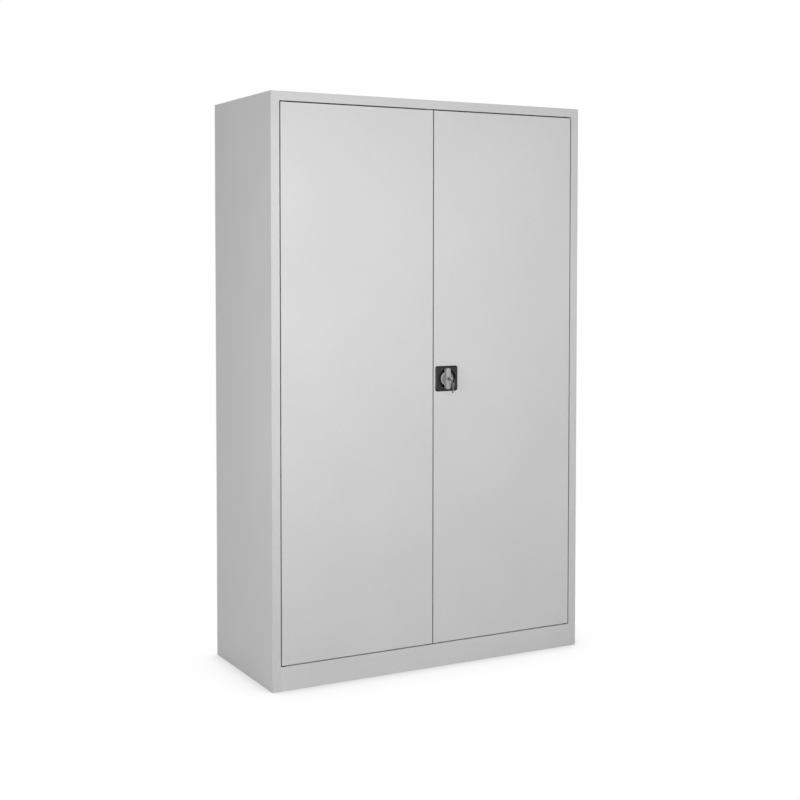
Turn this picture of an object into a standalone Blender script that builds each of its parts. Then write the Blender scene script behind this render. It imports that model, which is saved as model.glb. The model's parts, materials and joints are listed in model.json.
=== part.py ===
"""Two-door steel storage cabinet with a turning three-point lock, four shelves and a pair of keys.

Metres, +Z up. X runs along the width, the doors face -Y, and the cabinet stands on z = 0.
The origin is the middle of the footprint of the whole object, lock and keys included.
"""
import math

import bmesh
import bpy
from mathutils import Matrix, Vector

# Overall size and sheet steel
width = 1.200
depth = 0.500
height = 1.950
sheet = 0.001
fold_radius = 0.002
fold_steps = 2
fit = 0.0003
overrun = 0.002

# Front frame: stiles at the sides, rail at the top, plinth at the bottom
stile_width = 0.030
rail_height = 0.030
plinth_height = 0.080
frame_behind_door = 0.004
frame_lip = 0.012
foot_flange = 0.020
rear_flange = 0.020
top_flange = 0.018
stop_half_width = 0.015
stop_reach = 0.015
stop_clearance = 0.0005
stop_radius = 0.0013

# Floor panel and its stiffener
floor_clearance = 0.006
floor_edge = 0.020
floor_lip = 0.012
floor_channel_depth = 0.016
floor_channel_half = 0.025
floor_channel_foot = 0.014
floor_channel_end = 0.040

# Doors
door_gap = 0.004
door_thickness = 0.020
door_lip = 0.012
stiffener_half = 0.030
stiffener_foot = 0.014
stiffener_end = 0.032

# Pivots, one at the top and one at the bottom of each door
hinge_inset = 0.012
hinge_setback = 0.008
pin_radius = 0.003
pin_collar_radius = 0.005
pin_collar_height = 0.004
pin_chamfer = 0.001
pin_past_frame = 0.005
pin_past_bracket = 0.003
bracket_drop = 0.016
bracket_sheet = 0.0015
bracket_reach = 0.024
bush_wall = 0.0012
bush_flange = 0.0014
bush_length = 0.003
running_fit = 0.0002

# Shelf rails, clips and shelves
rail_depth = 0.010
rail_width = 0.030
rail_from_front = 0.085
rail_from_back = 0.060
rail_end_gap = 0.012
slot_pitch = 0.050
slot_margin = 0.025
slot_width = 0.014
slot_height = 0.004
clip_sheet = 0.0015
clip_radius = 0.0024
clip_width = 0.012
clip_hook = 0.006
clip_nose = 0.005
clip_ledge = 0.013
shelf_slots = (6, 14, 21, 29)
shelf_edge = 0.030
shelf_lip = 0.014
shelf_side_gap = 0.002
shelf_setback = 0.046
shelf_rear_gap = 0.008

# Lock plate
lock_from_edge = 0.049
lock_height = 1.000
plate_size = 0.087
plate_rise = 0.0065
plate_edge = 0.003
plate_bevel = 0.003
plate_corner = 0.008
dish_radius = 0.033
dish_depth = 0.004
dish_slope = 0.002

# Knob, its grip and its spindle
disc_radius = 0.024
disc_rise = 0.0065
disc_edge = 0.0035
grip_length = 0.074
grip_end = 0.009
grip_width = 0.019
grip_waist = 0.0175
grip_foot = 0.030
grip_face = 0.018
grip_draft = 0.0005
grip_round = 0.0012
grip_end_round = 0.0025
grip_lift = 0.0015
grip_levels = 4
spindle_radius = 0.0115
spindle_hole_gap = 0.001

# Lock plug and keys
plug_radius = 0.0065
plug_depth = 0.024
key_thickness = 0.002
key_blade_width = 0.007
key_inserted = 0.017
key_neck = 0.003
bow_radius = 0.009
bow_hole_radius = 0.002
bow_hole_from_end = 0.0045
blade_cut_shares = (0.16, 0.32, 0.20, 0.36, 0.14)
blade_cut_width_share = 0.8
blade_tip = 0.0025
keyway_clearance = 0.0003
keyway_end = 0.001
key_angle = math.radians(45)
key_ring_radius = 0.008
key_ring_wire = 0.0014

# Lock case, cam and rods behind the right door
case_half_width = 0.028
case_half_height = 0.040
case_foot = 0.009
cam_radius = 0.018
cam_thickness = 0.003
cam_pin_orbit = 0.012
cam_pin_radius = 0.003
cam_pin_past_rod = 0.001
cam_swing = math.radians(45)
rod_width = 0.012
rod_thickness = 0.003
rod_clearance = 0.002
rod_end_gap = 0.0023
rod_chamfer = 0.003
rod_slot_clearance = 0.0006
rod_slot_wall = 0.003
guide_foot = 0.009
guide_height = 0.010
guide_clearance = 0.0005
bolt_from_edge = 0.038
bolt_length = 0.120
bolt_tab = 0.008
bolt_radius = 0.004

# Facets on round pieces
round_steps = 32
small_steps = 16
corner_steps = 4

# Places worked out from the sizes above
outer = width / 2
opening = outer - stile_width
frame_return = door_thickness + frame_behind_door
rail_z = height - rail_height
door_bottom = plinth_height + door_gap
door_top = rail_z - door_gap
door_outer = opening - door_gap
door_inner = door_gap / 2
cam_throw = 2 * cam_pin_orbit * math.sin(cam_swing)
floor_top = plinth_height + rod_end_gap - cam_throw - floor_clearance
bow_centre = grip_face + key_neck + bow_radius
bow_hole_out = bow_centre + bow_radius - bow_hole_from_end
stand_out = bow_hole_out + bow_radius
front = (stand_out - depth) / 2
back = front + depth
inside = outer - sheet - fit
inside_back = back - sheet - fit
door_back = front + door_thickness
lock_x = door_inner + lock_from_edge
rod_front = front + frame_return + rod_clearance
rod_back = rod_front + rod_thickness
rail_face = inside - rail_depth
rail_bottom = floor_top + rail_end_gap
rail_top = rail_z - rail_end_gap
pivot_x = door_outer - hinge_inset
pivot_y = front + hinge_setback


def material(name, colour, roughness, metallic):
    """One plain finish: colour in linear RGB."""
    made = bpy.data.materials.new(name)
    made.use_nodes = True
    shader = made.node_tree.nodes["Principled BSDF"]
    shader.inputs["Base Color"].default_value = (*colour, 1)
    shader.inputs["Roughness"].default_value = roughness
    shader.inputs["Metallic"].default_value = metallic
    made.diffuse_color = (*colour, 1)
    return made


def finishes():
    """The finishes that the pieces share."""
    return {
        "powder coat": material("light_grey_powder_coat", (0.60, 0.61, 0.60), 0.45, 0.0),
        "zinc": material("zinc_plated_steel", (0.55, 0.56, 0.57), 0.35, 1.0),
        "nickel": material("nickel_plated_brass", (0.62, 0.60, 0.55), 0.25, 1.0),
        "black": material("black_moulded_plastic", (0.012, 0.012, 0.013), 0.25, 0.0),
        "grey": material("grey_moulded_plastic", (0.24, 0.25, 0.26), 0.40, 0.0),
        "nylon": material("black_nylon", (0.016, 0.016, 0.017), 0.50, 0.0),
    }


def new_object(name, shape, finish, smooth=False):
    """Turn a bmesh into an object with one finish, its faces pointing out."""
    bmesh.ops.recalc_face_normals(shape, faces=shape.faces)
    mesh = bpy.data.meshes.new(name)
    shape.to_mesh(mesh)
    shape.free()
    if finish:
        mesh.materials.append(finish)
    made = bpy.data.objects.new(name, mesh)
    bpy.context.scene.collection.objects.link(made)
    if smooth:
        mesh.shade_smooth()
        mesh.set_sharp_from_angle(angle=math.radians(35))
    return made


def apply_modifiers(piece):
    """Replace a piece's mesh by what its modifiers make of it."""
    bpy.context.view_layer.update()
    graph = bpy.context.evaluated_depsgraph_get()
    finished = bpy.data.meshes.new_from_object(piece.evaluated_get(graph))
    rough = piece.data
    piece.modifiers.clear()
    piece.data = finished
    bpy.data.meshes.remove(rough)
    return piece


def combine(piece, other, operation):
    """Cut one solid from a piece, or weld it on, and remove the spare solid."""
    modifier = piece.modifiers.new(operation.lower(), "BOOLEAN")
    modifier.solver = "EXACT"
    modifier.operation = operation
    modifier.object = other
    apply_modifiers(piece)
    bpy.data.objects.remove(other, do_unlink=True)
    return piece


def cut(piece, cutter):
    return combine(piece, cutter, "DIFFERENCE")


def weld(piece, other):
    return combine(piece, other, "UNION")


def add_box(shape, low, high):
    """Add an upright box to a bmesh, from its lowest corner to its highest."""
    low, high = Vector(low), Vector(high)
    middle, size = (low + high) / 2, high - low
    place = Matrix.Translation(middle) @ Matrix.Diagonal((*size, 1))
    bmesh.ops.create_cube(shape, size=1, matrix=place)


def boxes(corner_pairs, name="cutter"):
    """One object that holds several boxes, for cutting or welding."""
    shape = bmesh.new()
    for low, high in corner_pairs:
        add_box(shape, low, high)
    return new_object(name, shape, None)


def sided_box(side, u, y, z):
    """The two corners of a box given by its distance u from the middle, on one side."""
    x = sorted(side * distance for distance in u)
    return (x[0], y[0], z[0]), (x[1], y[1], z[1])


def bent_strip(path, thickness, radius, steps):
    """Both edges of a folded strip along a path, with the thickness on the path's right."""
    points = [Vector(point) for point in path]
    near, far = [], []
    for index, point in enumerate(points):
        before = (point - points[index - 1]).normalized() if index else None
        after = (points[index + 1] - point).normalized() if index + 1 < len(points) else None
        if before is None or after is None:
            along = after if before is None else before
            near.append(point)
            far.append(point + Vector((along.y, -along.x)) * thickness)
            continue
        turn = before.angle_signed(after)
        clockwise = turn > 0
        near_radius = radius if clockwise else radius - thickness
        far_radius = radius - thickness if clockwise else radius
        side = 1 if clockwise else -1
        start = point - before * near_radius * math.tan(abs(turn) / 2)
        centre = start + Vector((before.y, -before.x)) * side * near_radius
        for step in range(steps + 1):
            swing = Matrix.Rotation(-turn * step / steps, 2)
            arm = (swing @ (start - centre)).normalized()
            near.append(centre + arm * near_radius)
            far.append(centre + arm * far_radius)
    return near, far


def folded(name, finish, path, start, end, place, thickness=sheet, radius=fold_radius):
    """A folded strip of sheet: a bent profile run from start to end."""
    shape = bmesh.new()
    edges = bent_strip(path, thickness, radius, fold_steps)
    rows = [
        [shape.verts.new(place(point.x, point.y, run)) for point in edge]
        for run in (start, end)
        for edge in edges
    ]
    near_start, far_start, near_end, far_end = rows
    for index in range(len(near_start) - 1):
        pair = slice(index, index + 2)
        for one, other in (
            (near_start, near_end),
            (far_start, far_end),
            (near_start, far_start),
            (near_end, far_end),
        ):
            shape.faces.new(one[pair] + other[pair][::-1])
    for index in (0, -1):
        shape.faces.new([row[index] for row in (near_start, far_start, far_end, near_end)])
    return new_object(name, shape, finish, smooth=True)


def plan(side):
    """A profile drawn in plan, u from the middle and y, run up along z."""
    return lambda u, y, z: (side * u, y, z)


def across(y, z, x):
    """A profile drawn from the side, y and z, run along x."""
    return (x, y, z)


def tray(name, finish, a_ends, b_ends, edge, lip, place):
    """A sheet with four folded edges and lips, drawn as a flat a by b with c down the edge."""
    shape = bmesh.new()
    rings = []
    for inset, down in ((0, 0), (0, edge), (lip, edge)):
        a_low, a_high = a_ends[0] + inset, a_ends[1] - inset
        b_low, b_high = b_ends[0] + inset, b_ends[1] - inset
        corners = ((a_low, b_low), (a_high, b_low), (a_high, b_high), (a_low, b_high))
        rings.append([shape.verts.new(place(a, b, down)) for a, b in corners])
    plate = shape.faces.new(rings[0])
    for upper, lower in zip(rings, rings[1:]):
        for index in range(4):
            after = (index + 1) % 4
            shape.faces.new((upper[index], upper[after], lower[after], lower[index]))
    bmesh.ops.recalc_face_normals(shape, faces=shape.faces)
    outward = Vector(place(0, 0, 0)) - Vector(place(0, 0, 1))
    if plate.normal.dot(outward) < 0:
        bmesh.ops.reverse_faces(shape, faces=shape.faces)
    mesh = bpy.data.meshes.new(name)
    shape.to_mesh(mesh)
    shape.free()
    mesh.materials.append(finish)
    made = bpy.data.objects.new(name, mesh)
    bpy.context.scene.collection.objects.link(made)
    bevel = made.modifiers.new("folds", "BEVEL")
    bevel.width = fold_radius
    bevel.segments = fold_steps
    bevel.limit_method = "ANGLE"
    solidify = made.modifiers.new("sheet", "SOLIDIFY")
    solidify.thickness = sheet
    solidify.offset = -1
    solidify.use_even_offset = True
    apply_modifiers(made)
    made.data.shade_smooth()
    made.data.set_sharp_from_angle(angle=math.radians(35))
    return made


def turned(name, finish, profile, axis, centre, steps, hollow=False):
    """A turned piece: a profile of radius and height about an axis through a centre."""
    shape = bmesh.new()
    turn_axis = Vector(axis).normalized()
    side = turn_axis.orthogonal().normalized()
    rings = []
    for radius, rise in profile:
        middle = Vector(centre) + turn_axis * rise
        if radius == 0:
            rings.append([shape.verts.new(middle)])
            continue
        ring = []
        for step in range(steps):
            arm = Matrix.Rotation(math.tau * step / steps, 3, turn_axis) @ side
            ring.append(shape.verts.new(middle + arm * radius))
        rings.append(ring)
    pairs = list(zip(rings, rings[1:]))
    if hollow:
        pairs.append((rings[-1], rings[0]))
    for lower, upper in pairs:
        for step in range(steps):
            after = (step + 1) % steps
            corners = [lower[step % len(lower)], lower[after % len(lower)]]
            corners += [upper[after % len(upper)], upper[step % len(upper)]]
            shape.faces.new(list(dict.fromkeys(corners)))
    return new_object(name, shape, finish, smooth=True)


def cylinder(radius, low, high, axis, centre, steps, name="cutter", finish=None):
    """A plain round bar, for bores and pins."""
    profile = ((0, low), (radius, low), (radius, high), (0, high))
    return turned(name, finish, profile, axis, centre, steps)


def loft(name, finish, rings):
    """A solid through closed rings of points, with flat ends."""
    shape = bmesh.new()
    loops = [[shape.verts.new(point) for point in ring] for ring in rings]
    count = len(loops[0])
    for lower, upper in zip(loops, loops[1:]):
        for index in range(count):
            after = (index + 1) % count
            shape.faces.new((lower[index], lower[after], upper[after], upper[index]))
    shape.faces.new(loops[0])
    shape.faces.new(loops[-1])
    return new_object(name, shape, finish, smooth=True)


def slab(name, finish, outline, low, high, place):
    """A flat piece: an outline given some thickness."""
    rings = [[place(a, b, level) for a, b in outline] for level in (low, high)]
    return loft(name, finish, rings)


def rounded_square(half, corner):
    """A square outline with round corners."""
    reach = half - corner
    points = []
    for quarter in range(4):
        turn = math.tau * quarter / 4
        corner_x = reach * (1 if quarter in (0, 3) else -1)
        corner_z = reach * (1 if quarter in (0, 1) else -1)
        for step in range(corner_steps + 1):
            angle = turn + math.tau / 4 * step / corner_steps
            points.append((corner_x + corner * math.cos(angle), corner_z + corner * math.sin(angle)))
    return points


def pivot_on(piece, point):
    """Move a piece's origin to a point, with its shape left in place."""
    piece.data.transform(Matrix.Translation(-Vector(point)))
    piece.location = point
    return piece


def carry(carrier, *pieces):
    """Parent pieces to what carries them, where they are."""
    bpy.context.view_layer.update()
    for piece in pieces:
        piece.parent = carrier
        piece.matrix_parent_inverse = carrier.matrix_world.inverted()


def front_place(x, z, out):
    """A point in front of the doors' outer face, out from it."""
    return (x, front - out, z)


def side_panel(name, side, finish):
    """A side: rear flange, flat side, front stile, its return and its closing lip."""
    stile_back = front + frame_return
    path = (
        (outer - rear_flange, back),
        (outer, back),
        (outer, front),
        (opening, front),
        (opening, stile_back),
        (opening + frame_lip, stile_back),
    )
    panel = folded(name, finish, path, 0, height, plan(side))
    under_top = sided_box(
        side,
        (opening - overrun, inside),
        (front + sheet + fit, inside_back),
        (height - sheet - fit, height + overrun),
    )
    return cut(panel, boxes([under_top]))


def top_panel(finish):
    """The top: front rail with its return and lip, plate, rear flange and side flanges."""
    rail_back = front + frame_return
    path = (
        (rail_back, rail_z + frame_lip),
        (rail_back, rail_z),
        (front, rail_z),
        (front, height),
        (back, height),
        (back, height - top_flange),
    )
    panel = folded("top_panel", finish, path, -inside, inside, across)
    flanges = []
    for side in (-1, 1):
        flanges.append(sided_box(
            side,
            (inside - sheet, inside),
            (rail_back + fit, back - rear_flange),
            (height - top_flange, height - sheet / 2),
        ))
    weld(panel, boxes(flanges))
    corners = []
    for side in (-1, 1):
        past = (opening - fit, outer)
        rail_y = (front - overrun, rail_back + overrun)
        corners.append(sided_box(side, past, rail_y, (rail_z - overrun, height - sheet - fit / 2)))
    cut(panel, boxes(corners))
    for side in (-1, 1):
        over_stile = sided_box(
            side,
            (opening - fit, outer),
            (front - overrun, front + sheet + fit),
            (rail_z - overrun, height + overrun),
        )
        over_flange = sided_box(
            side,
            (outer - rear_flange - fit, outer),
            (inside_back, back + overrun),
            (height - top_flange - overrun, height + overrun),
        )
        cut(panel, boxes([over_stile, over_flange]))
    return cut(panel, pivot_holes(rail_z + sheet / 2))


def front_plinth(finish):
    """The plinth: foot flange, face, return and lip."""
    plinth_back = front + frame_return
    path = (
        (front + foot_flange, 0),
        (front, 0),
        (front, plinth_height),
        (plinth_back, plinth_height),
        (plinth_back, plinth_height - frame_lip),
    )
    end = opening - fit
    panel = folded("front_plinth", finish, path, -end, end, across)
    return cut(panel, pivot_holes(plinth_height - sheet / 2))


def door_stop(finish):
    """The joggled tab behind the top rail's lip that both doors close against."""
    lip_back = front + frame_return + fit
    face = door_back + stop_clearance
    under = rail_z - fit
    path = (
        (lip_back + sheet, rail_z + frame_lip),
        (lip_back + sheet, under - sheet),
        (face + sheet, under - sheet),
        (face + sheet, rail_z - stop_reach),
    )
    return folded(
        "door_stop", finish, path, -stop_half_width, stop_half_width, across, sheet, stop_radius,
    )


def pivot_holes(level):
    """Cutters for the two pivot bushes in a return of the frame."""
    radius = pin_radius + running_fit + bush_wall + fit
    shape = bmesh.new()
    for side in (-1, 1):
        place = Matrix.Translation((side * pivot_x, pivot_y, level))
        bmesh.ops.create_cone(
            shape, cap_ends=True, segments=small_steps, radius1=radius, radius2=radius,
            depth=sheet + 2 * overrun, matrix=place,
        )
    return new_object("cutter", shape, None)


def back_panel(finish):
    """The back: one sheet inside the rear flanges, with a foot flange."""
    path = (
        (inside_back, height - fold_radius - fit),
        (inside_back, 0),
        (inside_back - foot_flange, 0),
    )
    end = outer - fold_radius - fit
    return folded("back_panel", finish, path, -end, end, across)


def floor_panel(finish):
    """The floor: a tray behind the plinth, notched round the stiles."""
    rear = inside_back - sheet - fit
    panel = tray(
        "floor_panel", finish, (-inside, inside), (front + sheet + fit, rear),
        floor_edge, floor_lip, lambda x, y, down: (x, y, floor_top - down),
    )
    notches = []
    for side in (-1, 1):
        notches.append(sided_box(
            side,
            (opening - fit, outer),
            (front, front + frame_return + fit),
            (floor_top - floor_edge - overrun, floor_top + overrun),
        ))
    return cut(panel, boxes(notches))


def hat(centre, half, foot, base, crown):
    """The path of a hat profile: foot, leg, crown, leg, foot."""
    return (
        (centre - half - foot, base),
        (centre - half, base),
        (centre - half, crown),
        (centre + half, crown),
        (centre + half, base),
        (centre + half + foot, base),
    )


def floor_channel(finish):
    """A hat profile under the floor that stiffens it."""
    middle = (front + back) / 2
    under = floor_top - sheet - fit
    path = hat(middle, floor_channel_half, floor_channel_foot, sheet, floor_channel_depth)
    end = inside - floor_channel_end
    return folded(
        "floor_channel", finish, path, -end, end, lambda y, drop, x: (x, y, under - drop),
    )


def shelf_rail(name, side, rail_front, finish):
    """A slotted channel on a side panel, with slots for the shelf clips."""
    path = (
        (inside, rail_front),
        (rail_face, rail_front),
        (rail_face, rail_front + rail_width),
        (inside, rail_front + rail_width),
    )
    rail = folded(name, finish, path, rail_bottom, rail_top, plan(side))
    middle = rail_front + rail_width / 2
    slots = []
    for level in slot_levels():
        slots.append(sided_box(
            side,
            (rail_face - overrun, rail_face + sheet + overrun),
            (middle - slot_width / 2, middle + slot_width / 2),
            (level - slot_height / 2, level + slot_height / 2),
        ))
    return cut(rail, boxes(slots))


def slot_levels():
    """The height of each slot's middle."""
    first = rail_bottom + slot_margin
    count = int((rail_top - slot_margin - first) / slot_pitch) + 1
    return [first + slot_pitch * index for index in range(count)]


def ledge_level(slot):
    """The upper side of a clip's ledge in a slot."""
    return slot_levels()[slot] - slot_height / 2 + fit + clip_sheet


def shelf_clip(name, side, rail_front, slot, finish):
    """A bent clip: a hook behind the slot, a ledge for the shelf and a turned-down nose."""
    hook = rail_face + sheet + fit + clip_sheet
    tip = rail_face - clip_ledge
    ledge = ledge_level(slot)
    path = (
        (hook, ledge + clip_hook),
        (hook, ledge - clip_sheet),
        (tip, ledge - clip_sheet),
        (tip, ledge - clip_sheet - clip_nose),
    )
    middle = rail_front + rail_width / 2
    return folded(
        name, finish, path, middle - clip_width / 2, middle + clip_width / 2,
        lambda u, z, y: (side * u, y, z), clip_sheet, clip_radius,
    )


def shelf(name, slot, finish):
    """A shelf: a tray with folded edges that rests on its four clips."""
    end = rail_face - shelf_side_gap
    top = ledge_level(slot) + fit + shelf_edge
    rear = inside_back - sheet - shelf_rear_gap
    return tray(
        name, finish, (-end, end), (front + shelf_setback, rear),
        shelf_edge, shelf_lip, lambda x, y, down: (x, y, top - down),
    )


def door(name, side, finish):
    """A door pan with its pivot brackets and the bores for its pivot pins."""
    pan = tray(
        name, finish, (door_inner, door_outer), (door_bottom, door_top),
        door_thickness, door_lip, lambda u, z, back_by: (side * u, front + back_by, z),
    )
    brackets = []
    for level in (door_bottom + bracket_drop, door_top - bracket_drop):
        brackets.append(sided_box(
            side,
            (door_outer - bracket_reach, door_outer - sheet / 2),
            (front + sheet / 2, door_back - sheet / 2),
            (level - bracket_sheet / 2, level + bracket_sheet / 2),
        ))
    weld(pan, boxes(brackets))
    bore = pin_radius + fit
    span = door_top - door_bottom
    for level in (door_bottom, door_top):
        reach = bracket_drop + bracket_sheet + overrun
        bar = cylinder(
            bore, -reach, reach, (0, 0, 1), (side * pivot_x, pivot_y, level), small_steps,
        )
        cut(pan, bar)
    if side > 0:
        cut(pan, cylinder(
            spindle_radius + spindle_hole_gap, -overrun, sheet + overrun, (0, 1, 0),
            (lock_x, front, lock_height), round_steps,
        ))
    return pivot_on(pan, (side * pivot_x, pivot_y, door_bottom + span / 2))


def door_stiffener(name, side, finish):
    """A hat profile on the inner side of a door."""
    middle = (door_inner + door_outer) / 2
    base = front + 2 * sheet + fit
    crown = door_back - sheet
    path = hat(middle, stiffener_half, stiffener_foot, base, crown)
    return folded(
        name, finish, path, door_bottom + stiffener_end, door_top - stiffener_end, plan(side),
    )


def pivot_pin(name, side, up, finish):
    """A door's pivot pin, up or down: it passes its bracket, the door's edge and the frame."""
    edge, level = (door_top, rail_z + sheet) if up > 0 else (door_bottom, plinth_height - sheet)
    below = -(bracket_drop + bracket_sheet / 2 + pin_past_bracket)
    collar_top = -(sheet + fit)
    tip = abs(level - edge) + pin_past_frame
    profile = (
        (0, below),
        (pin_radius, below),
        (pin_radius, collar_top - pin_collar_height),
        (pin_collar_radius, collar_top - pin_collar_height),
        (pin_collar_radius, collar_top),
        (pin_radius, collar_top),
        (pin_radius, tip - pin_chamfer),
        (pin_radius - pin_chamfer, tip),
        (0, tip),
    )
    centre = (side * pivot_x, pivot_y, edge)
    return turned(name, finish, profile, (0, 0, up), centre, small_steps)


def pivot_bush(name, side, up, finish):
    """The flanged bush in the frame that a pivot pin turns in."""
    edge = rail_z if up > 0 else plinth_height
    bore = pin_radius + running_fit
    body = bore + bush_wall
    profile = (
        (bore, fit - door_gap),
        (body + bush_flange, fit - door_gap),
        (body + bush_flange, -fit),
        (body, -fit),
        (body, bush_length),
        (bore, bush_length),
    )
    centre = (side * pivot_x, pivot_y, edge)
    return turned(name, finish, profile, (0, 0, up), centre, small_steps, hollow=True)


def lock_plate(finish):
    """The square plate round the knob, with a bevelled rim and a round dish."""
    half = plate_size / 2
    steps = (
        (half, plate_corner, fit),
        (half, plate_corner, plate_edge),
        (half - plate_bevel, plate_corner - plate_bevel / 2, plate_rise),
    )
    rings = []
    for reach, corner, out in steps:
        outline = rounded_square(reach, corner)
        rings.append([front_place(lock_x + x, lock_height + z, out) for x, z in outline])
    plate = loft("lock_plate", finish, rings)
    centre = front_place(lock_x, lock_height, 0)
    floor = plate_rise - dish_depth
    profile = (
        (0, floor),
        (dish_radius - dish_slope, floor),
        (dish_radius, plate_rise + fit),
        (dish_radius, plate_rise + overrun),
        (0, plate_rise + overrun),
    )
    cut(plate, turned("cutter", None, profile, (0, -1, 0), centre, round_steps))
    return cut(plate, cylinder(
        spindle_radius + spindle_hole_gap, -overrun, plate_rise + overrun,
        (0, -1, 0), centre, round_steps,
    ))


def grip_outline(foot_share, draft, end_draft):
    """The grip's outline: at its foot a wide ellipse, above it waisted and blunt at its ends."""
    end_radius = grip_width / 2
    waist = grip_waist / 2
    reach = grip_length / 2 - grip_end
    half = []
    for step in range(corner_steps):
        share = -1 + 2 * step / corner_steps
        swell = (1 - math.cos(math.pi * share)) / 2
        half.append((waist + (end_radius - waist) * swell, reach * share))
    for step in range(2 * corner_steps):
        angle = math.pi * step / (2 * corner_steps)
        half.append((end_radius * math.cos(angle), reach + grip_end * math.sin(angle)))
    shaped = []
    for x, z in half:
        along = 2 * z / grip_length
        foot = grip_foot / 2 * math.sqrt(max(0, 1 - along * along))
        spread = max(0, abs(x) - draft, foot_share * foot + (1 - foot_share) * abs(x) - draft)
        shaped.append((math.copysign(spread, x), z * (1 - 2 * end_draft / grip_length)))
    return shaped + [(-x, -z) for x, z in shaped]


def knob(finish):
    """The knob: disc, waisted grip and spindle in one, bored for the lock plug."""
    centre = front_place(lock_x, lock_height, 0)
    disc_back = plate_rise - dish_depth + fit
    disc_front = disc_back + disc_rise
    spindle_end = -(door_thickness + sheet + fit + cam_thickness + fit)
    profile = (
        (0, spindle_end),
        (cam_bore_radius(), spindle_end),
        (cam_bore_radius(), -(door_thickness + sheet + fit)),
        (spindle_radius, -(door_thickness + sheet + fit)),
        (spindle_radius, disc_back),
        (disc_radius, disc_back),
        (disc_radius, disc_front - disc_edge),
        (disc_radius - disc_edge, disc_front),
        (0, disc_front),
    )
    body = turned("knob", finish, profile, (0, -1, 0), centre, round_steps)
    grip_back = plate_rise + grip_lift
    levels = []
    for level in range(grip_levels):
        share = level / (grip_levels - 1)
        out = grip_back + (grip_face - grip_round - grip_back) * share
        levels.append(((1 - share) ** 2, grip_draft * share, grip_draft * share, out))
    levels.append((0, grip_draft + grip_round, grip_draft + grip_end_round, grip_face))
    rings = []
    for foot_share, draft, end_draft, out in levels:
        outline = grip_outline(foot_share, draft, end_draft)
        rings.append([front_place(lock_x + x, lock_height + z, out) for x, z in outline])
    weld(body, loft("grip", None, rings))
    bore = cylinder(
        plug_radius + fit, grip_face - plug_depth - fit, grip_face + overrun,
        (0, -1, 0), centre, round_steps,
    )
    cut(body, bore)
    return pivot_on(body, front_place(lock_x, lock_height, 0))


def cam_bore_radius():
    """The spindle's thinner end, which the cam is riveted on."""
    return spindle_radius - cam_thickness


def lock_plug(finish):
    """The cylinder in the knob, with the slot that the key goes in."""
    centre = front_place(lock_x, lock_height, 0)
    plug = cylinder(
        plug_radius, grip_face - plug_depth, grip_face, (0, -1, 0), centre,
        round_steps, "lock_plug", finish,
    )
    half_width = key_blade_width / 2 + keyway_clearance
    half_thickness = key_thickness / 2 + keyway_clearance
    slot = boxes([(
        (-half_width, -overrun, -half_thickness),
        (half_width, key_inserted + keyway_end, half_thickness),
    )])
    slot.data.transform(key_place(grip_face))
    cut(plug, slot)
    return pivot_on(plug, front_place(lock_x, lock_height, grip_face))


def key_place(out):
    """Turn a shape that is drawn flat about the knob's axis to the key's slant."""
    turn = Matrix.Rotation(key_angle, 4, "Y")
    return Matrix.Translation(front_place(lock_x, lock_height, out)) @ turn


def key_outline():
    """A key seen flat: cut blade and round bow, as across and out from the bow's end."""
    half = key_blade_width / 2
    length = key_inserted + key_neck + 2 * bow_radius
    meet = math.asin(half / bow_radius)
    centre = length - bow_radius
    points = [(-half, blade_tip), (blade_tip - half, 0), (half - blade_tip, 0), (half, blade_tip)]
    pitch = (key_inserted - blade_tip) / (len(blade_cut_shares) + 1)
    for index, share in enumerate(blade_cut_shares):
        middle = blade_tip + pitch * (index + 1)
        floor = half - key_blade_width * share
        points.append((half, middle - pitch * blade_cut_width_share / 2))
        points.append((floor, middle))
        points.append((half, middle + pitch * blade_cut_width_share / 2))
    turns = 4 * corner_steps
    for step in range(turns + 1):
        angle = meet + (math.tau - 2 * meet) * step / turns
        points.append((bow_radius * math.sin(angle), centre - bow_radius * math.cos(angle)))
    return points


def flat_key(name, finish):
    """A key drawn flat, its tip towards +Y and the hole in its bow at the origin."""
    length = key_inserted + key_neck + 2 * bow_radius
    hole = length - bow_hole_from_end
    half = key_thickness / 2
    outline = [(a, hole - b) for a, b in key_outline()]
    key = slab(name, finish, outline, -half, half, lambda a, b, c: (a, b, c))
    return cut(key, cylinder(
        bow_hole_radius, -half - overrun, half + overrun, (0, 0, 1), (0, 0, 0), small_steps,
    ))


def keys(finish):
    """The key in the lock, the ring through its bow and the spare key that hangs from it."""
    key = flat_key("key", finish)
    key.data.transform(key_place(bow_hole_out))
    pivot_on(key, front_place(lock_x, lock_height, grip_face))

    wire = key_ring_wire / 2
    play = bow_hole_radius - wire - fit
    down_slope = Vector((math.cos(key_angle), 0, -math.sin(key_angle)))
    hole = Vector(front_place(lock_x, lock_height, bow_hole_out))
    hung = hole + down_slope * play
    centre = hung + down_slope * key_ring_radius
    profile = []
    for step in range(corner_steps + 2):
        angle = math.tau * step / (corner_steps + 2)
        profile.append((key_ring_radius + wire * math.cos(angle), wire * math.sin(angle)))
    ring = turned(
        "key_ring", finish, profile, (0, 1, 0), centre, 6 * corner_steps, hollow=True,
    )
    pivot_on(ring, hung)

    lowest = centre - Vector((0, 0, key_ring_radius))
    spare = flat_key("spare_key", finish)
    upright = Matrix.Rotation(math.radians(-90), 4, "X") @ Matrix.Rotation(math.radians(90), 4, "Y")
    spare.data.transform(Matrix.Translation(lowest - Vector((0, 0, play))) @ upright)
    pivot_on(spare, lowest)
    return key, ring, spare


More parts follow.
